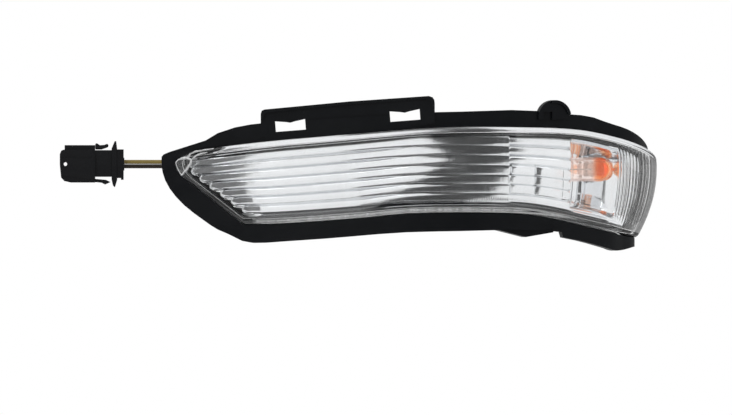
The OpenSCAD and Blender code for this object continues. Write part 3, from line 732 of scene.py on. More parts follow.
@dataclass
class Studio:
    """Camera, floor, lamps and cards, none of which belongs to the lamp, in metres.

    The surround is white to the camera. The values as_light, in_gloss and in_glass say how bright it is as
    light on a surface, in a reflection and through clear plastic.
    """

    view_width: float = 0.2928
    centre: Span = (0.0073, -0.0343)
    distance: float = 7.5
    sensor: float = 36.0
    clip: Span = (1.0, 80.0)
    floor_z: float = -0.36
    floor_half: float = 6.0
    as_light: float = 0.5
    in_gloss: float = 0.4
    in_glass: float = 1.04
    cards_round: tuple[float, float, float] = (0.03, 0.0, -0.02)
    lamps_round: tuple[float, float, float] = (0.0, 0.0, -0.02)
    card_reach: float = 0.8
    dark_card: float = 0.11

    def camera(self) -> bpy.types.Object:
        """Stands the camera straight in front of the lamp, as the photograph was taken.

        Returns:
            The camera.
        """
        data = bpy.data.cameras.new("camera")
        data.sensor_width = self.sensor
        data.lens = self.sensor * self.distance / self.view_width
        data.clip_start, data.clip_end = self.clip
        cam = bpy.data.objects.new("camera", data)
        cam.location = (self.centre[0], -self.distance, self.centre[1])
        cam.rotation_euler = (math.radians(90), 0, 0)
        bpy.context.scene.collection.objects.link(cam)
        bpy.context.scene.camera = cam
        return cam

    def world(self) -> None:
        """A white surround to the camera, with levels of its own in gloss, through glass and as light."""
        world = bpy.data.worlds.new("surround")
        bpy.context.scene.world = world
        world.use_nodes = True
        nodes, links = world.node_tree.nodes, world.node_tree.links
        back = next(n for n in nodes if n.type == "BACKGROUND")
        back.inputs["Color"].default_value = (1.0, 1.0, 1.0, 1.0)
        path = nodes.new("ShaderNodeLightPath")
        seen_as = {"Is Glossy Ray": self.in_gloss, "Is Transmission Ray": self.in_glass,
                   "Is Camera Ray": 1.0}
        level = None
        for kind, seen in seen_as.items():
            blend = nodes.new("ShaderNodeMix")
            blend.inputs[2].default_value = self.as_light
            blend.inputs[3].default_value = seen
            links.new(path.outputs[kind], blend.inputs[0])
            if level:
                links.new(level, blend.inputs[2])
            level = blend.outputs[0]
        links.new(level, back.inputs["Strength"])

    def card(self, name: str, corners: Sequence[Sequence[float]], grey: float) -> bpy.types.Object:
        """A studio card round the lamp that shows only in reflections and through the lens.

        Args:
            name: Name of the card.
            corners: Its corners as seen from the lamp: degrees right of the camera, degrees above the
                horizon and, where it isn't card_reach, the distance along the floor.
            grey: The card's tone.

        Returns:
            The card.
        """
        bm = bmesh.new()
        spots = []
        for turn, lift, *reach in corners:
            a, e = math.radians(turn), math.radians(lift)
            way = Vector((math.sin(a), -math.cos(a), math.tan(e)))
            spots.append(Vector(self.cards_round) + (reach[0] if reach else self.card_reach) * way)
        bm.faces.new([bm.verts.new(p) for p in spots])
        obj = finish_mesh(bm, name)
        shader = Shader(name).set(Base_Color=(grey, grey, grey, 1.0), Roughness=0.9, Specular_IOR_Level=0.0)
        dress(obj, shader.material)
        obj.visible_camera = False
        obj.visible_diffuse = False
        obj.visible_shadow = False
        return obj

    def lamp(self, name: str, turn: float, lift: float, reach: float, size: Span,
             level: float) -> bpy.types.Object:
        """A soft box that faces the lamp.

        Args:
            name: Name of the light.
            turn: Direction from the lamp, in degrees to the right of the camera.
            lift: Height of that direction above the horizon, in degrees.
            reach: Distance in metres.
            size: Width and height in metres.
            level: How bright its face is, where 1 is white.

        Returns:
            The light.
        """
        data = bpy.data.lights.new(name, "AREA")
        data.shape = "RECTANGLE"
        data.size, data.size_y = size
        data.energy = level * math.pi * size[0] * size[1]
        light = bpy.data.objects.new(name, data)
        a, e = math.radians(turn), math.radians(lift)
        way = Vector((math.sin(a) * math.cos(e), -math.cos(a) * math.cos(e), math.sin(e)))
        light.location = Vector(self.lamps_round) + way * reach
        light.rotation_mode = "QUATERNION"
        light.rotation_quaternion = way.to_track_quat("Z", "Y")
        bpy.context.scene.collection.objects.link(light)
        return light

    def floor(self) -> bpy.types.Object:
        """A plain pale floor, which is white where the camera sees it directly or through the lens.

        Returns:
            The floor.
        """
        bm = bmesh.new()
        bmesh.ops.create_grid(bm, x_segments=1, y_segments=1, size=self.floor_half)
        bmesh.ops.translate(bm, vec=(0.0, 0.0, self.floor_z), verts=bm.verts)
        obj = finish_mesh(bm, "floor")
        shader = Shader("pale_floor").set(Base_Color=(0.93, 0.93, 0.93, 1.0), Roughness=0.8)
        path = shader.nodes.new("ShaderNodeLightPath")
        glow = shader.nodes.new("ShaderNodeEmission")
        blend = shader.nodes.new("ShaderNodeMixShader")
        share = shader.nodes.new("ShaderNodeMath")
        share.operation = "MAXIMUM"
        out = next(n for n in shader.nodes if n.type == "OUTPUT_MATERIAL")
        shader.links.new(path.outputs["Is Camera Ray"], share.inputs[0])
        shader.links.new(path.outputs["Is Transmission Ray"], share.inputs[1])
        shader.links.new(share.outputs[0], blend.inputs[0])
        shader.links.new(shader.bsdf.outputs[0], blend.inputs[1])
        shader.links.new(glow.outputs[0], blend.inputs[2])
        shader.links.new(blend.outputs[0], out.inputs["Surface"])
        dress(obj, shader.material)
        return obj

    def build(self) -> None:
        """Sets up the whole studio."""
        bpy.context.scene.view_settings.view_transform = "Standard"
        self.camera()
        self.world()
        self.floor()
        self.lamp("softbox_left", -38, 18, 1.3, (1.0, 0.9), 1.1)
        self.lamp("softbox_top", 10, 72, 1.1, (1.4, 0.5), 1.3)
        self.card("flag_right_of_camera", ((1, -20), (24, -20), (25, 0), (29, 10), (31, 28), (31, 62),
                                           (9, 62), (12, 16), (15, 4), (7, -10)), self.dark_card)
        self.card("flag_on_floor", ((1, -70, 0.12), (24, -70, 0.12), (25, -22.4), (1, -22.4)),
                  self.dark_card)
        self.card("flag_left_of_camera", ((-52, -22), (-19.5, -22), (-19.5, 28), (-52, 28)), 0.3)
        self.card("flag_behind_right", ((142, -30), (172, -30), (172, 30), (142, 30)), 0.4)


@dataclass
class LensCover:
    """The clear cover: a lofted wall with a rounded edge, a skirt, prism flutes in its wrap and fine ribs.

    Spans hold where something starts and ends, along the face or, for prism_above and rib_band, in height
    above the lens's lower edge. Strips are the bright metal in the skirt's root along the upper edge and
    pale strips behind the other edges, whose whiteness paints the light carried along the lens's edge;
    strip_in is how far in from an edge they reach. The boss's outline and its ribs list s and z.
    """

    wall: float = 2.2
    edge_r: float = 1.3
    end_r: float = 2.6
    least_r: float = 0.4
    skirt: float = 6.85
    start: float = -60.0
    settle: float = 30.0
    last: float = 143.5
    across: int = 26
    prism_from: float = 113.0
    prism_pitch: float = 1.36
    prism_count: int = 10
    prism_depth: float = 0.27
    prism_fall: float = 1.5
    prism_above: Span = (3.6, 6.6)
    ribs: Span = (44.0, 100.0)
    rib_band: Span = (0.9, 4.6)
    rib_pitch: float = 0.98
    rib_height: float = 0.32
    rib_slant: float = 0.25
    rib_fade: float = 8.0
    strip_in: float = 2.1
    strip_wall: float = 0.15
    # Stand-off of the strips that paint light along the lens's edges.
    strip_lift: float = 0.02
    bright_line_u: float = 2.8
    boss_u: float = 3.0
    boss_rise: float = 0.6
    boss_round: float = 0.2
    bead_r: float = 0.5
    bead_depths: tuple[float, float, float] = (1.3, 1.2, 1.5)
    boss_shield: tuple[Span, ...] = (
        (-69.6, -16.3), (-68.6, -15.3), (-66.6, -14.8), (-64.6, -14.5), (-63.2, -15.3), (-63.3, -16.6),
        (-65.1, -19.2), (-67.1, -21.2), (-68.6, -18.9))
    boss_rib: tuple[Span, ...] = (
        (-64.6, -14.5), (-63.4, -12.9), (-61.6, -12.0), (-58.0, -11.5), (-54.0, -11.0))
    boss_under: tuple[Span, ...] = ((-63.2, -15.3), (-61.2, -13.6), (-59.4, -12.8), (-56.6, -12.3))
    stations: list[float] = field(default_factory=list)

    def __post_init__(self) -> None:
        """Sets the stations along the lens, with four to a rib and eight to a prism flute."""
        ribbed = int(4 * (self.ribs[1] - self.ribs[0]) / self.rib_pitch)
        self.stations = steps([self.start, -30, *self.ribs, self.prism_from], [14, 20, ribbed, 6])[:-1]
        self.stations += [self.prism_at(k / 8) for k in range(8 * self.prism_count + 1)]
        self.stations += steps([self.stations[-1], self.last], [4])[1:]

    def profile(self, back: bool, edge_r: float) -> list[Span]:
        """The rings from the skirt's end round the lens's edge to its face.

        Args:
            back: True for the inside of the wall.
            edge_r: Radius of the edge.

        Returns:
            Inset and depth of each ring.
        """
        w = self.wall if back else 0.0
        r = max(edge_r - w, self.least_r)
        turns = [math.radians(a) for a in range(0, 91, 15)]
        arc = [(w + r - r * math.cos(a), w + r - r * math.sin(a)) for a in turns]
        return [(w, self.skirt), (w, (self.skirt + w + r) / 2), *arc]

    def across_view(self, s: float) -> float:
        """Place of a station as seen from the front, in millimetres."""
        return FACE.place(s, 0.0, 0.0).x / MM

    def prism_at(self, n: float) -> float:
        """Finds a flute of the wrap, where the flutes look evenly spaced from the front.

        Args:
            n: Number of the flute, with its fraction.

        Returns:
            Its station.
        """
        low, high = self.prism_from, FACE.s_end
        goal = self.across_view(low) + n * self.prism_pitch
        for _ in range(30):
            middle = (low + high) / 2
            low, high = (middle, high) if self.across_view(middle) < goal else (low, middle)
        return low

    def prism(self, s: float, above: float) -> float:
        """Height of the flutes inside the wrap, which get shallower as the face turns away.

        Args:
            s: Distance along the face.
            above: Height above the lens's lower edge.

        Returns:
            Height in millimetres.
        """
        n = (self.across_view(s) - self.across_view(self.prism_from)) / self.prism_pitch
        if n < 0 or n > self.prism_count:
            return 0.0
        height = self.prism_depth * math.cos(math.radians(FACE.arc(s)[0])) ** self.prism_fall
        return height * math.sin(math.pi * (n % 1.0)) * rise(above, *self.prism_above)

    def rib(self, s: float, above: float) -> float:
        """Height of the fine slanted ribs inside the lens.

        Args:
            s: Distance along the face.
            above: Height above the lens's lower edge.

        Returns:
            Height in millimetres.
        """
        (first, last), (low, high) = self.ribs, self.rib_band
        if not (first < s < last and low < above < high):
            return 0.0
        fade = ease((s - first) / self.rib_fade) * ease((last - s) / self.rib_fade)
        turn = 2 * math.pi * (s - self.rib_slant * above) / self.rib_pitch
        return self.rib_height * fade * (0.5 - 0.5 * math.cos(turn))

    def point(self, i: int, j: int, back: bool) -> Vector:
        """Place of a grid point.

        Args:
            i: Row, from the inboard end.
            j: Column, from the lower edge.
            back: True for the inside of the wall.

        Returns:
            The place in metres.
        """
        rings, ends = self.profile(back, self.edge_r), self.profile(back, self.end_r)
        last = len(rings) - 1
        ki, kj = min(i, self.rows - 1 - i), min(j, self.cols - 1 - j)
        upper = j >= self.cols / 2
        share = (j - last) / self.across if kj > last else (1.0 if upper else 0.0)
        f = FACE.share_in(rings[min(kj, last)][0], share)
        if ki > last:
            station = self.stations[i - last - 1]
            end = FACE.side_at(f) + FACE.slant * ends[last][0] + 1
            s = station + give_way(station, self.start, self.settle) * (end - self.start)
        elif i <= last:
            s = FACE.side_at(f) + FACE.slant * ends[ki][0]
        else:
            s = FACE.s_end - ends[ki][0]
        low, high = FACE.bottom.at(s), FACE.top.at(s)
        if kj <= last:
            z = high - rings[kj][0] if upper else low + rings[kj][0]
        else:
            z = mix(low + rings[last][0], high - rings[last][0], share)
        u = FACE.crown(s, z) + (ends[min(ki, last)][1] if ki < kj else rings[min(kj, last)][1])
        if back and min(ki, kj) > last:
            u -= self.prism(s, z - low) + self.rib(s, z - low)
        return FACE.place(s, u, z)

    @property
    def rows(self) -> int:
        """Points along the lens."""
        return len(self.stations) + 2 * len(self.profile(False, self.edge_r))

    @property
    def cols(self) -> int:
        """Points across the lens."""
        return self.across - 1 + 2 * len(self.profile(False, self.edge_r))

    def build(self, acrylic: bpy.types.Material, pale_highlight: bpy.types.Material,
              metal: bpy.types.Material) -> list[bpy.types.Object]:
        """Makes the lens.

        Args:
            acrylic: The lens's material.
            pale_highlight: Pale plastic whose whiteness paints the highlights along the lens's lower and
                outboard edges and on the boss's rims.
            metal: The bright metal that shows in the root of its upper edge.

        Returns:
            The pieces made.
        """
        made = [shaped_shell("lens_cover", self.rows, self.cols, self.point), self.edge_strip(True),
                self.edge_strip(False), self.end_strip(), *self.tip_boss()]
        # The pale plastic on the lower and outboard strips and on the boss's beads paints highlights and
        # light along the lens's edges.
        for piece, material in zip(made, (acrylic, metal, pale_highlight, pale_highlight, acrylic, pale_highlight)):
            dress(piece, material)
            piece.visible_shadow = False
            stand_in(piece, "lens")
        return made

    def edge_strip(self, upper: bool) -> bpy.types.Object:
        """The bright metal line in the root of the skirt along the upper edge, or a pale strip along the
        lower edge that paints the light carried along the lens's edge.

        Args:
            upper: True for the bright line, False for the pale strip of painted light.

        Returns:
            The strip, which narrows to nothing at its inboard end.
        """
        name, start, outer = ("lens_edge_upper", -56.0, 0.55) if upper else ("lens_edge_lower", -39.0, 0.15)
        stations = steps([start, FACE.s_end - 3], [120])
        insets = steps([outer, self.strip_in], [12])

        def place(i: int, j: int, back: bool) -> Vector:
            """Place of a grid point of the strip."""
            s = stations[i]
            off = mix(self.strip_in, insets[j], mix(0.02, 1.0, ease((s - start) / 9)))
            z = FACE.top.at(s) - off if upper else FACE.bottom.at(s) + off
            ripple = self.strip_lift * math.cos(2 * math.pi * j / 6)
            u = self.bright_line_u + ripple if upper else self.skirt + self.strip_lift
            return FACE.place(s, u + (self.strip_wall if back else 0.0) + FACE.crown(s, z), z)

        return shaped_shell(name, len(stations), len(insets), place)

    def end_strip(self) -> bpy.types.Object:
        """A pale strip round the outboard end, behind the skirt, that paints the light carried along the
        lens's edge.

        Returns:
            The strip.
        """
        insets = steps([self.strip_wall, self.strip_in], [6])
        cells = 30

        def place(i: int, j: int, back: bool) -> Vector:
            """Place of a grid point of the strip."""
            s = FACE.s_end - insets[j]
            z = mix(FACE.bottom.at(s) + insets[j], FACE.top.at(s) - insets[j], i / cells)
            u = self.skirt + (self.strip_wall if back else self.strip_lift)
            return FACE.place(s, u + FACE.crown(s, z), z)

        return shaped_shell("lens_edge_outboard", cells + 1, len(insets), place)

    def tip_boss(self) -> tuple[bpy.types.Object, bpy.types.Object]:
        """The shield-shaped boss moulded behind the lens at its inboard tip, with its raised rim and rib.

        Returns:
            The boss's plate, and the beads of its rim and ribs.
        """

        def lift(points: Sequence[Span], depth: float) -> list[Vector]:
            """Puts points of the face at a depth behind it."""
            return [FACE.place(s, depth + FACE.crown(s, z), z) for s, z in points]

        bm = bmesh.new()
        plate = bm.faces.new([bm.verts.new(p) for p in lift(self.boss_shield, self.boss_u)])
        front = bmesh.ops.extrude_face_region(bm, geom=[plate])["geom"]
        bmesh.ops.translate(bm, vec=(0.0, -self.boss_rise * MM, 0.0),
                            verts=[g for g in front if isinstance(g, bmesh.types.BMVert)])
        edges = [e for e in bm.edges if len(e.link_faces) == 2 and e.calc_face_angle(0.0) > 0.6]
        bmesh.ops.bevel(bm, geom=edges, offset=self.boss_round * MM, offset_type="OFFSET", segments=2,
                        profile=0.5, affect="EDGES", material=-1)
        bmesh.ops.recalc_face_normals(bm, faces=bm.faces)
        # These beads are dressed in pale plastic, which paints the highlights of the rim and ribs.
        beads = (self.boss_shield + self.boss_shield[:1], self.boss_rib, self.boss_under)
        rims = [lift(points, depth) for points, depth in zip(beads, self.bead_depths)]
        return finish_mesh(bm, "lens_tip_boss", 50.0), tubes("lens_tip_rim", rims, self.bead_r)


@dataclass
class ReflectorInsert:
    """The metallised insert: long convex flutes with petal ends, raised facets and a bowl round the bulb.

    Spans hold where something starts and ends along the face. The first edge_rows rows and edge_cols
    columns of the grid are the skirt that stands on the housing's floor and the flat rim inside it. The
    relief of a flute is its depth below the crest: valley_power shapes its section at the petal and farther
    along, calm is its share at both ends of calm_over, and dip and spoon hollow it over a length from its
    petal.
    """

    flutes: int = 7
    flute_depth: float = 1.6
    valley_power: Span = (9.0, 5.0)
    power_over: float = 16.0
    calm: Span = (0.85, 0.15)
    calm_over: Span = (5.0, 30.0)
    dip: Span = (0.7, 11.0)
    spoon: Span = (0.1, 9.0)
    outboard_share: float = 0.7
    outboard_over: Span = (110.0, 120.0)
    thickness: float = 1.2
    start: float = -55.0
    settle: float = 10.0
    inset: float = 2.9
    draft: float = 0.6
    crest_u: float = 6.8
    groove: float = 1.3
    rim_step: float = 0.4
    rim_gap: float = 0.3
    petal: float = 2.3
    petal_gap: float = 0.4
    petal_bead: float = 0.42
    facets: Span = (66.6, 93.0)
    facet_steps: Span = (77.4, 89.8)
    facet_rows: Span = (0.99, 4.01)
    facet_lead: tuple[float, float, float] = (-0.1, -0.4, 0.4)
    facet_rise: tuple[float, float, float] = (1.5, 1.2, 0.4)
    facet_fall: float = 0.8
    facet_crown: tuple[float, float, float] = (0.45, 0.74, 0.1)
    facet_valley: float = 0.2
    facet_groove: float = 0.3
    facet_edge: float = 0.8
    bowl_depth: float = 19.6
    bowl_in: Span = (93.4, 97.6)
    bowl_out: Span = (112.0, 139.0)
    bowl_shares: Span = (0.24, 0.12)
    step_span: Span = (93.0, 98.0)
    step_shift: float = 1.1
    pillow: float = 3.6
    pillow_depth: float = 0.3
    pillow_from: float = 97.8
    end_lift: float = 0.6
    end_lift_over: Span = (118.0, 138.0)
    opening: Span = (94.8, 97.4)
    opening_half: float = 5.9
    bulb_z: float = -19.0
    foot_u: float = 12.0
    foot_gap: Span = (0.15, 1.6)
    chamber_from: float = 78.0
    pan_to: float = 78.2
    lip_floor: float = 11.2
    chamber: Outline = Outline(((78, 33), (104, 33), (112, 31.8), (118, 29.3), (126, 23.5), (134, 18),
                                (FACE.s_end - 3, 12.5), (FACE.s_end + 9, 12.5)))
    per_flute: int = 12
    edge_rows: int = 2
    edge_cols: int = 3
    stations: list[float] = field(default_factory=list)
    shares: list[float] = field(default_factory=list)
    ends: list[float] = field(default_factory=list)

    def __post_init__(self) -> None:
        """Sets the stations along the reflector, the shares across it and where each share's petal ends."""
        self.stations = steps(
            [self.start, -50, -40, -12, 65.6, 67.8, 77.1, 77.7, 89.5, 90.1, 93.4, 97.8, 110, 120, 134],
            [14, 18, 12, 24, 10, 8, 3, 8, 3, 3, 14, 24, 18, 18])
        self.shares = steps([0.0, 1.0], [self.flutes * self.per_flute])
        self.ends = [self.petal_line(f) for f in self.shares]

    @property
    def rows(self) -> int:
        """Points along the reflector."""
        return len(self.stations) + 2 * self.edge_rows

    @property
    def cols(self) -> int:
        """Points across the reflector."""
        return len(self.shares) + 2 * self.edge_cols

    def flute_at(self, f: float) -> tuple[int, float]:
        """The flute that holds share f, and the position across it from -1 to 1."""
        place = min(f, 0.9999) * self.flutes
        return int(place), 2 * (place % 1.0) - 1

    def bowl(self, s: float, f: float) -> float:
        """Share of the bulb bowl's full depth."""
        low, high = self.bowl_shares
        return rise(s, *self.bowl_in) * (1 - rise(s, *self.bowl_out)) * ease(f / low) * ease((1 - f) / high)

    def in_facets(self, s: float, f: float) -> bool:
        """Tells whether a point lies on the raised facets inboard of the bulb.

        Args:
            s: Distance along the face.
            f: Share across the reflector.

        Returns:
            True on a facet.
        """
        row = f * self.flutes
        lead = self.facet_lead[max(0, min(2, int(row) - 1))]
        return self.facet_rows[0] < row < self.facet_rows[1] and self.facets[0] + lead < s < self.facets[1]

    def facet(self, s: float, f: float) -> float:
        """Height of the raised facets, which step down in three crowned tiles towards the bulb.

        Args:
            s: Distance along the face.
            f: Share across the reflector.

        Returns:
            Height in millimetres.
        """
        if not self.in_facets(s, f):
            return 0.0
        stops = (self.facets[0], *self.facet_steps, self.facets[1])
        k = sum(s > stop for stop in self.facet_steps)
        along = (s - stops[k]) / (stops[k + 1] - stops[k])
        slope = self.facet_rise[k] * (1 - self.facet_fall * along)
        return slope + self.facet_crown[k] * math.sin(math.pi * along)

    def petal_line(self, f: float) -> float:
        """Finds where the rounded end of a flute lies.

        Args:
            f: Share across the reflector.

        Returns:
            Distance along the face of the end of the flute that holds share f.
        """
        k, across = self.flute_at(f)

        def round_off(v: float) -> float:
            """How far the petal's arc falls back at position v across it."""
            return self.petal * (1 - math.sqrt(max(0.0, 1 - v * v)))

        def left(share: float) -> float:
            """Distance along the face of the slanted end at a share across the reflector."""
            return FACE.side_at(FACE.share_in(self.inset, share)) + FACE.slant * self.inset + self.petal_gap

        trials = [-1 + n / 6 for n in range(13)]
        reach = max(left((k + (v + 1) / 2) / self.flutes) - round_off(v) for v in trials)
        return reach + round_off(across)

    def margins(self, ki: int, kj: int, upper: bool) -> Span:
        """How far a point of the skirt or its corners is drawn in.

        Args:
            ki: Rows from the nearer end.
            kj: Columns from the nearer side.
            upper: True on the upper side.

        Returns:
            The distances across and along the piece.
        """
        kc = min(kj, self.edge_cols)
        if ki < self.edge_rows:
            return (((self.draft, 0.85, 1.1, 1.35), (self.draft, 0.45, 0.9, 1.35))[ki][kc],
                    ((self.draft,) * 4, (0.85, 0.45, 0.0, 0.0))[ki][kc])
        return (self.draft, 0.0, 0.3, 0.6 if upper else self.groove)[kc], 0.0

    def relief(self, line: float, end: float, f: float, v: float) -> float:
        """Depth of the fluted skin below its crests, with upright pillows in the bulb's bowl.

        Args:
            line: Distance along the face.
            end: Distance from the flute's inboard end.
            f: Share across the reflector.
            v: Position across the flute, from -1 to 1.

        Returns:
            Depth in millimetres.
        """
        hollow = self.bowl(line, f)
        valley = abs(v) ** mix(*self.valley_power, ease(end / self.power_over))
        if self.in_facets(line, f):
            groove = max(0.0, (abs(v) - self.facet_edge) / (1 - self.facet_edge))
            valley = self.facet_valley * valley + self.facet_groove * groove
        calm = mix(*self.calm, rise(line, *self.calm_over)) if line < self.facets[0] else self.calm[0]
        share = mix(mix(calm * valley, 1.0, hollow), self.outboard_share, rise(line, *self.outboard_over))
        dip = self.dip[0] * max(0.0, 1 - end / self.dip[1]) ** 2
        spoon = self.spoon[0] * math.sin(math.pi * min(1.0, end / self.spoon[1])) * (1 - v ** 6)
        pillow = abs(math.sin(math.pi * (line - self.pillow_from) / self.pillow))
        return self.flute_depth * share + dip + spoon - self.pillow_depth * hollow * pillow

    def point(self, i: int, j: int, back: bool) -> Vector:
        """Place of a grid point.

        Args:
            i: Row, from the inboard end.
            j: Column, from the lower side.
            back: True for the back of the wall.

        Returns:
            The place in metres.
        """
        ki, kj = min(i, self.rows - 1 - i), min(j, self.cols - 1 - j)
        upper = j >= self.cols / 2
        at_end, at_side = ki < self.edge_rows, kj < self.edge_cols
        f = (1.0 if upper else 0.0) if at_side else self.shares[j - self.edge_cols]
        t = self.thickness if back else 0.0
        across, along = self.margins(ki, kj, upper)
        margin = self.inset + t + across
        slanted = FACE.slant * (self.inset + t + along)
        station = 0.0 if at_end else self.stations[i - self.edge_rows]
        if i < self.edge_rows:
            line = FACE.side_at(FACE.share_in(margin, f)) + slanted + self.rim_gap
        elif at_end:
            line = FACE.s_end - self.inset - t - along
        else:
            end = self.ends[max(0, min(len(self.ends) - 1, j - self.edge_cols))]
            line = station + give_way(station, self.start, self.settle) * (end - self.start)
        s = line - (self.step_shift if back and self.step_span[0] < station < self.step_span[1] else 0.0)
        z = mix(FACE.bottom.at(s) + margin, FACE.top.at(s) - margin, f)
        if min(ki, kj) == 0:
            gap = self.foot_gap[1] if s > self.chamber_from else self.foot_gap[0]
            return FACE.place(s, min(self.floor_u(s, z), self.foot_u + FACE.crown(s, z)) - gap, z)
        if i < self.edge_rows:
            u = self.crest_u + self.flute_depth + self.rim_step
        else:
            flat = at_end or at_side
            v = self.flute_at(f)[1]
            relief = self.flute_depth if flat else self.relief(line, station - self.start, f, v)
            lift = self.facet(line, f) + self.end_lift * rise(line, *self.end_lift_over)
            u = self.crest_u + relief + self.bowl_depth * self.bowl(line, f) - lift
        return FACE.place(s, u + t + FACE.crown(s, z), z)

    def floor_u(self, s: float, z: float) -> float:
        """Depth of the housing's floor, which is deeper in the chamber behind the bulb."""
        pan = self.foot_u if s < self.pan_to else self.chamber.at(s)
        return max(pan, self.lip_floor + FACE.crown(s, z))

    def opened(self, i: int, j: int) -> bool:
        """Tells whether a cell belongs to the opening through which the bulb stands.

        Args:
            i: The cell's first row.
            j: The cell's first column.

        Returns:
            True where the cell is left out.
        """
        last_row, last_col = self.rows - self.edge_rows - 1, self.cols - self.edge_cols - 1
        if not (self.edge_rows <= i < last_row and self.edge_cols <= j < last_col):
            return False
        station = self.stations[i - self.edge_rows]
        z = (self.point(i, j, False).z + self.point(i, j + 1, False).z) / 2 / MM
        return self.opening[0] < station < self.opening[1] and abs(z - self.bulb_z) < self.opening_half

    def petal_rims(self) -> bpy.types.Object:
        """The fine raised bead round each flute's rounded end.

        Returns:
            The beads.
        """
        row, run = self.edge_rows, 3
        lines = []
        for k in range(self.flutes):
            first = self.edge_cols + k * self.per_flute
            last = first + self.per_flute
            path = [(i, first) for i in range(row + run, row, -1)]
            path += [(row, j) for j in range(first, last + 1)]
            path += [(i, last) for i in range(row + 1, row + run + 1)]
            lines.append([self.point(i, j, False) for i, j in path])
        return tubes("reflector_petal_rims", lines, self.petal_bead)

    def build(self, metal: bpy.types.Material) -> list[bpy.types.Object]:
        """Makes the reflector.

        Args:
            metal: The reflector's material.

        Returns:
            The pieces made.
        """
        made = [shaped_shell("reflector_insert", self.rows, self.cols, self.point, self.opened, 28.0),
                self.petal_rims()]
        for piece in made:
            dress(piece, metal)
            stand_in(piece, "reflector")
        return made


@dataclass
class HousingShell:
    """The black moulded housing with its flange, ear and hook."""

    edge_round: float = 0.3

    def build(self, nodes: dict[str, bpy.types.Object],
              plastic: bpy.types.Material) -> list[bpy.types.Object]:
        """Dresses the housing.

        Args:
            nodes: The CAD nodes' objects.
            plastic: The housing's material.

        Returns:
            The pieces made.
        """
        shell = softened(nodes["housing"], "housing_shell", self.edge_round)
        dress(shell, plastic)
        return [stand_in(shell, "housing")]


@dataclass
class BulbAndHolder:
    """The capless bulb, its holder, contacts and seal, and the vent's membrane."""

    glass_round: float = 0.25
    glass_angle: float = 50.0
    holder_round: float = 0.35
    finishes: dict[str, str] = field(default_factory=lambda: {
        "bulb_filament": "filament_metal", "bulb_lead_signal": "lead_wire_metal",
        "bulb_lead_ground": "lead_wire_metal", "holder_contact_signal": "contact_brass",
        "holder_contact_ground": "contact_brass", "holder_seal": "seal_rubber",
        "vent_membrane": "membrane_white"})

    def build(self, nodes: dict[str, bpy.types.Object],
              materials: dict[str, bpy.types.Material]) -> list[bpy.types.Object]:
        """Dresses the bulb's pieces.

        Args:
            nodes: The CAD nodes' objects.
            materials: Materials by slot name.

        Returns:
            The pieces dressed.
        """
        for name, finish in self.finishes.items():
            dress(nodes[name], materials[finish])
        glass = softened(nodes["bulb_envelope"], "bulb_glass", self.glass_round, self.glass_angle)
        dress(glass, materials["bulb_amber_glass"])
        glass.visible_shadow = False
        holder = softened(nodes["bulb_holder"], "bulb_holder_body", self.holder_round)
        dress(holder, materials["holder_black"])
        return [stand_in(glass, "bulb_envelope"), stand_in(holder, "bulb_holder"),
                *(nodes[name] for name in self.finishes)]


@dataclass
class PlugConnector:
    """The two-way plug with its collar, latch, grommet and terminals."""

    edge_round: float = 0.35

    def build(self, nodes: dict[str, bpy.types.Object],
              materials: dict[str, bpy.types.Material]) -> list[bpy.types.Object]:
        """Dresses the plug's pieces.

        Args:
            nodes: The CAD nodes' objects.
            materials: Materials by slot name.

        Returns:
            The pieces made and dressed.
        """
        made = []
        for node in ("connector_housing", "connector_collar", "connector_lock"):
            piece = softened(nodes[node], node + "_body", self.edge_round)
            dress(piece, materials["connector_black"])
            made.append(stand_in(piece, node))
        for node in ("terminal_signal", "terminal_ground"):
            made.append(dress(nodes[node], materials["terminal_tin"]))
        made.append(dress(nodes["wire_grommet"], materials["seal_rubber"]))
        return made


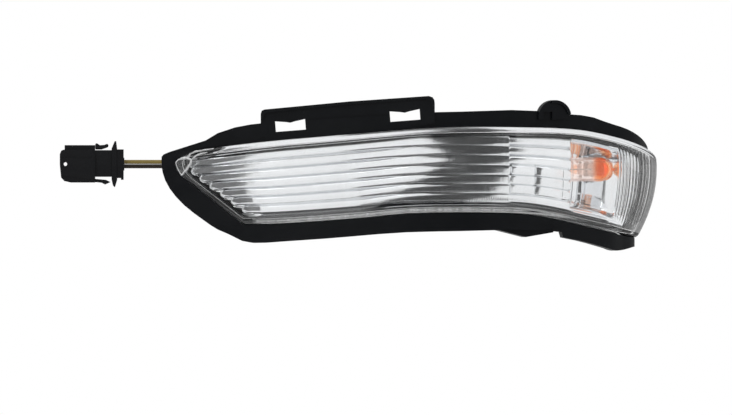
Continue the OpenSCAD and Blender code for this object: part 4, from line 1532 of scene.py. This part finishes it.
@dataclass
class LeadWires:
    """The two insulated wires from the holder along the housing's back to the plug, in millimetres.

    The route lists x, y and half the gap between the wires. Inside the holder they lie along the bulb's
    axis, at the distances in_holder from its start, which axis_at gives as a place on the lamp.
    """

    diameter: float = 1.7
    lead_z: float = -16.9
    axis_at: tuple[float, float, float] = (78.0, 24.3, -19.0)
    axis_turn: float = 9.0
    contact_x: float = 2.1
    in_holder: tuple[float, ...] = (-5.4, -11.0, -16.0)
    hidden_points: int = 8
    route: tuple[tuple[float, float, float], ...] = (
        (48, 17, 1.2), (38, 12.2, 0.87), (28, 8.9, 0.87), (19, 7.6, 0.87), (9, 7.2, 0.87), (0, 7, 0.87),
        (-10, 7.2, 0.87), (-20, 7.6, 0.87), (-30, 8.4, 0.87), (-40, 9.6, 0.87), (-50, 11.1, 0.87),
        (-58, 12.5, 0.87), (-66, 14.2, 0.87), (-74, 16, 0.87), (-82, 17.3, 0.88), (-86, 17.5, 0.88),
        (-90, 17.5, 0.88), (-94, 17.5, 0.88), (-98, 17.5, 1.9), (-101, 17.5, 2.5), (-103.5, 17.5, 2.5))

    def knots(self, side: int) -> list[Vector]:
        """The route's own points for one wire, from inside the holder to its terminal.

        Args:
            side: -1 for the upper wire, 1 for the lower.

        Returns:
            The points, in millimetres.
        """
        start = FACE.place(*self.axis_at) / MM
        a = math.radians(self.axis_turn)
        level = start.z - side * self.contact_x
        held = [Vector((start.x + d * math.cos(a), start.y + d * math.sin(a), level))
                for d in self.in_holder]
        return held + [Vector((x, y, self.lead_z - side * gap)) for x, y, gap in self.route]

    def line(self, side: int, per_knot: int = 6) -> list[Vector]:
        """The smooth centre line through the knots.

        Args:
            side: -1 for the upper wire, 1 for the lower.
            per_knot: Number of steps from one knot to the next.

        Returns:
            The line's points, in metres.
        """
        knots = self.knots(side)
        n = len(knots)
        out = []
        for k in range((n - 1) * per_knot + 1):
            x = k / per_knot
            i = min(int(x), n - 2)
            t = x - i
            a, b, c, d = knots[max(i - 1, 0)], knots[i], knots[i + 1], knots[min(i + 2, n - 1)]
            out.append((b + t * (c - a) / 2 + t * t * (a - 2.5 * b + 2 * c - 0.5 * d)
                        + t ** 3 * (1.5 * (b - c) + (d - a) / 2)) * MM)
        return out

    def wire(self, name: str, side: int, node: str, material: bpy.types.Material,
             plug: Sequence[bpy.types.Object]) -> bpy.types.Object:
        """Makes one wire as a curve with round section.

        Args:
            name: Name of the piece.
            side: -1 for the upper wire, 1 for the lower.
            node: The CAD node that it stands for.
            material: Its material.
            plug: The pieces at its far end; not used.

        Returns:
            The wire.
        """
        points = self.line(side)[self.hidden_points:]
        data = bpy.data.curves.new(name, "CURVE")
        data.dimensions = "3D"
        data.bevel_depth = self.diameter / 2 * MM
        data.bevel_resolution = 3
        data.use_fill_caps = True
        spline = data.splines.new("POLY")
        spline.points.add(len(points) - 1)
        for p, at in zip(spline.points, points):
            p.co = (*at, 1.0)
        obj = bpy.data.objects.new(name, data)
        bpy.context.scene.collection.objects.link(obj)
        dress(obj, material)
        stand_in(obj, node)
        list(plug)
        return obj

    def build(self, materials: dict[str, bpy.types.Material],
              plug: Sequence[bpy.types.Object]) -> list[bpy.types.Object]:
        """Makes both wires.

        Args:
            materials: Materials by slot name.
            plug: The pieces at their far end.

        Returns:
            The wires.
        """
        wires = (("wire_signal", -1, "wire_olive"), ("wire_ground", 1, "wire_brown_black"))
        return [self.wire(node + "_run", side, node, materials[slot], plug)
                for node, side, slot in wires]


def lamp_materials() -> dict[str, bpy.types.Material]:
    """Builds every finish.

    Returns:
        Materials by the record's slot names.
    """
    finishes = [
        MouldedPlastic("housing_black", (0.0035, 0.0045, 0.006), (0.006, 0.007, 0.009), 0.38, specular=0.22),
        MouldedPlastic("holder_black", (0.012, 0.012, 0.013), (0.018, 0.018, 0.019), 0.5),
        MouldedPlastic("connector_black", (0.005, 0.0055, 0.007), (0.009, 0.0095, 0.011), 0.36,
                       specular=0.25),
        MouldedPlastic("membrane_white", (0.8, 0.8, 0.78), (0.7, 0.7, 0.68), 0.8),
        ClearAcrylic("lens_clear"),
        # Pale plastic that paints the highlights along the lens's edges and the boss's rims.
        PaleHighlightAcrylic("lens_painted_highlight"),
        Metallised("reflector_metallised"),
        AmberGlass("bulb_amber_glass"),
        StampedMetal("filament_metal", (0.35, 0.34, 0.33)),
        StampedMetal("lead_wire_metal", (0.6, 0.6, 0.58)),
        StampedMetal("contact_brass", (0.69, 0.50, 0.24)),
        StampedMetal("terminal_tin", (0.66, 0.66, 0.64)),
        SoftSkin("seal_rubber", (0.03, 0.03, 0.032), 0.6, 0.1),
        SoftSkin("wire_olive", (0.27, 0.20, 0.05), 0.42),
        SoftSkin("wire_brown_black", (0.02, 0.012, 0.006), 0.4),
    ]
    return {finish.name: finish.build() for finish in finishes}


def main() -> None:
    """Builds the lamp's looks and the studio."""
    logging.basicConfig(level=logging.INFO, format="%(name)s: %(message)s")
    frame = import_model()
    Studio().build()
    nodes, materials = frame["nodes"], lamp_materials()
    plug = PlugConnector().build(nodes, materials)
    pieces = [
        *plug,
        *LeadWires().build(materials, plug),
        *HousingShell().build(nodes, materials["housing_black"]),
        *ReflectorInsert().build(materials["reflector_metallised"]),
        *BulbAndHolder().build(nodes, materials),
        *LensCover().build(materials["lens_clear"], materials["lens_painted_highlight"],
                           materials["reflector_metallised"]),
    ]
    for piece in pieces:
        LOG.info("%s: %d faces", piece.name, len(piece.data.polygons) if piece.type == "MESH" else 0)


if __name__ == "__main__":
    main()
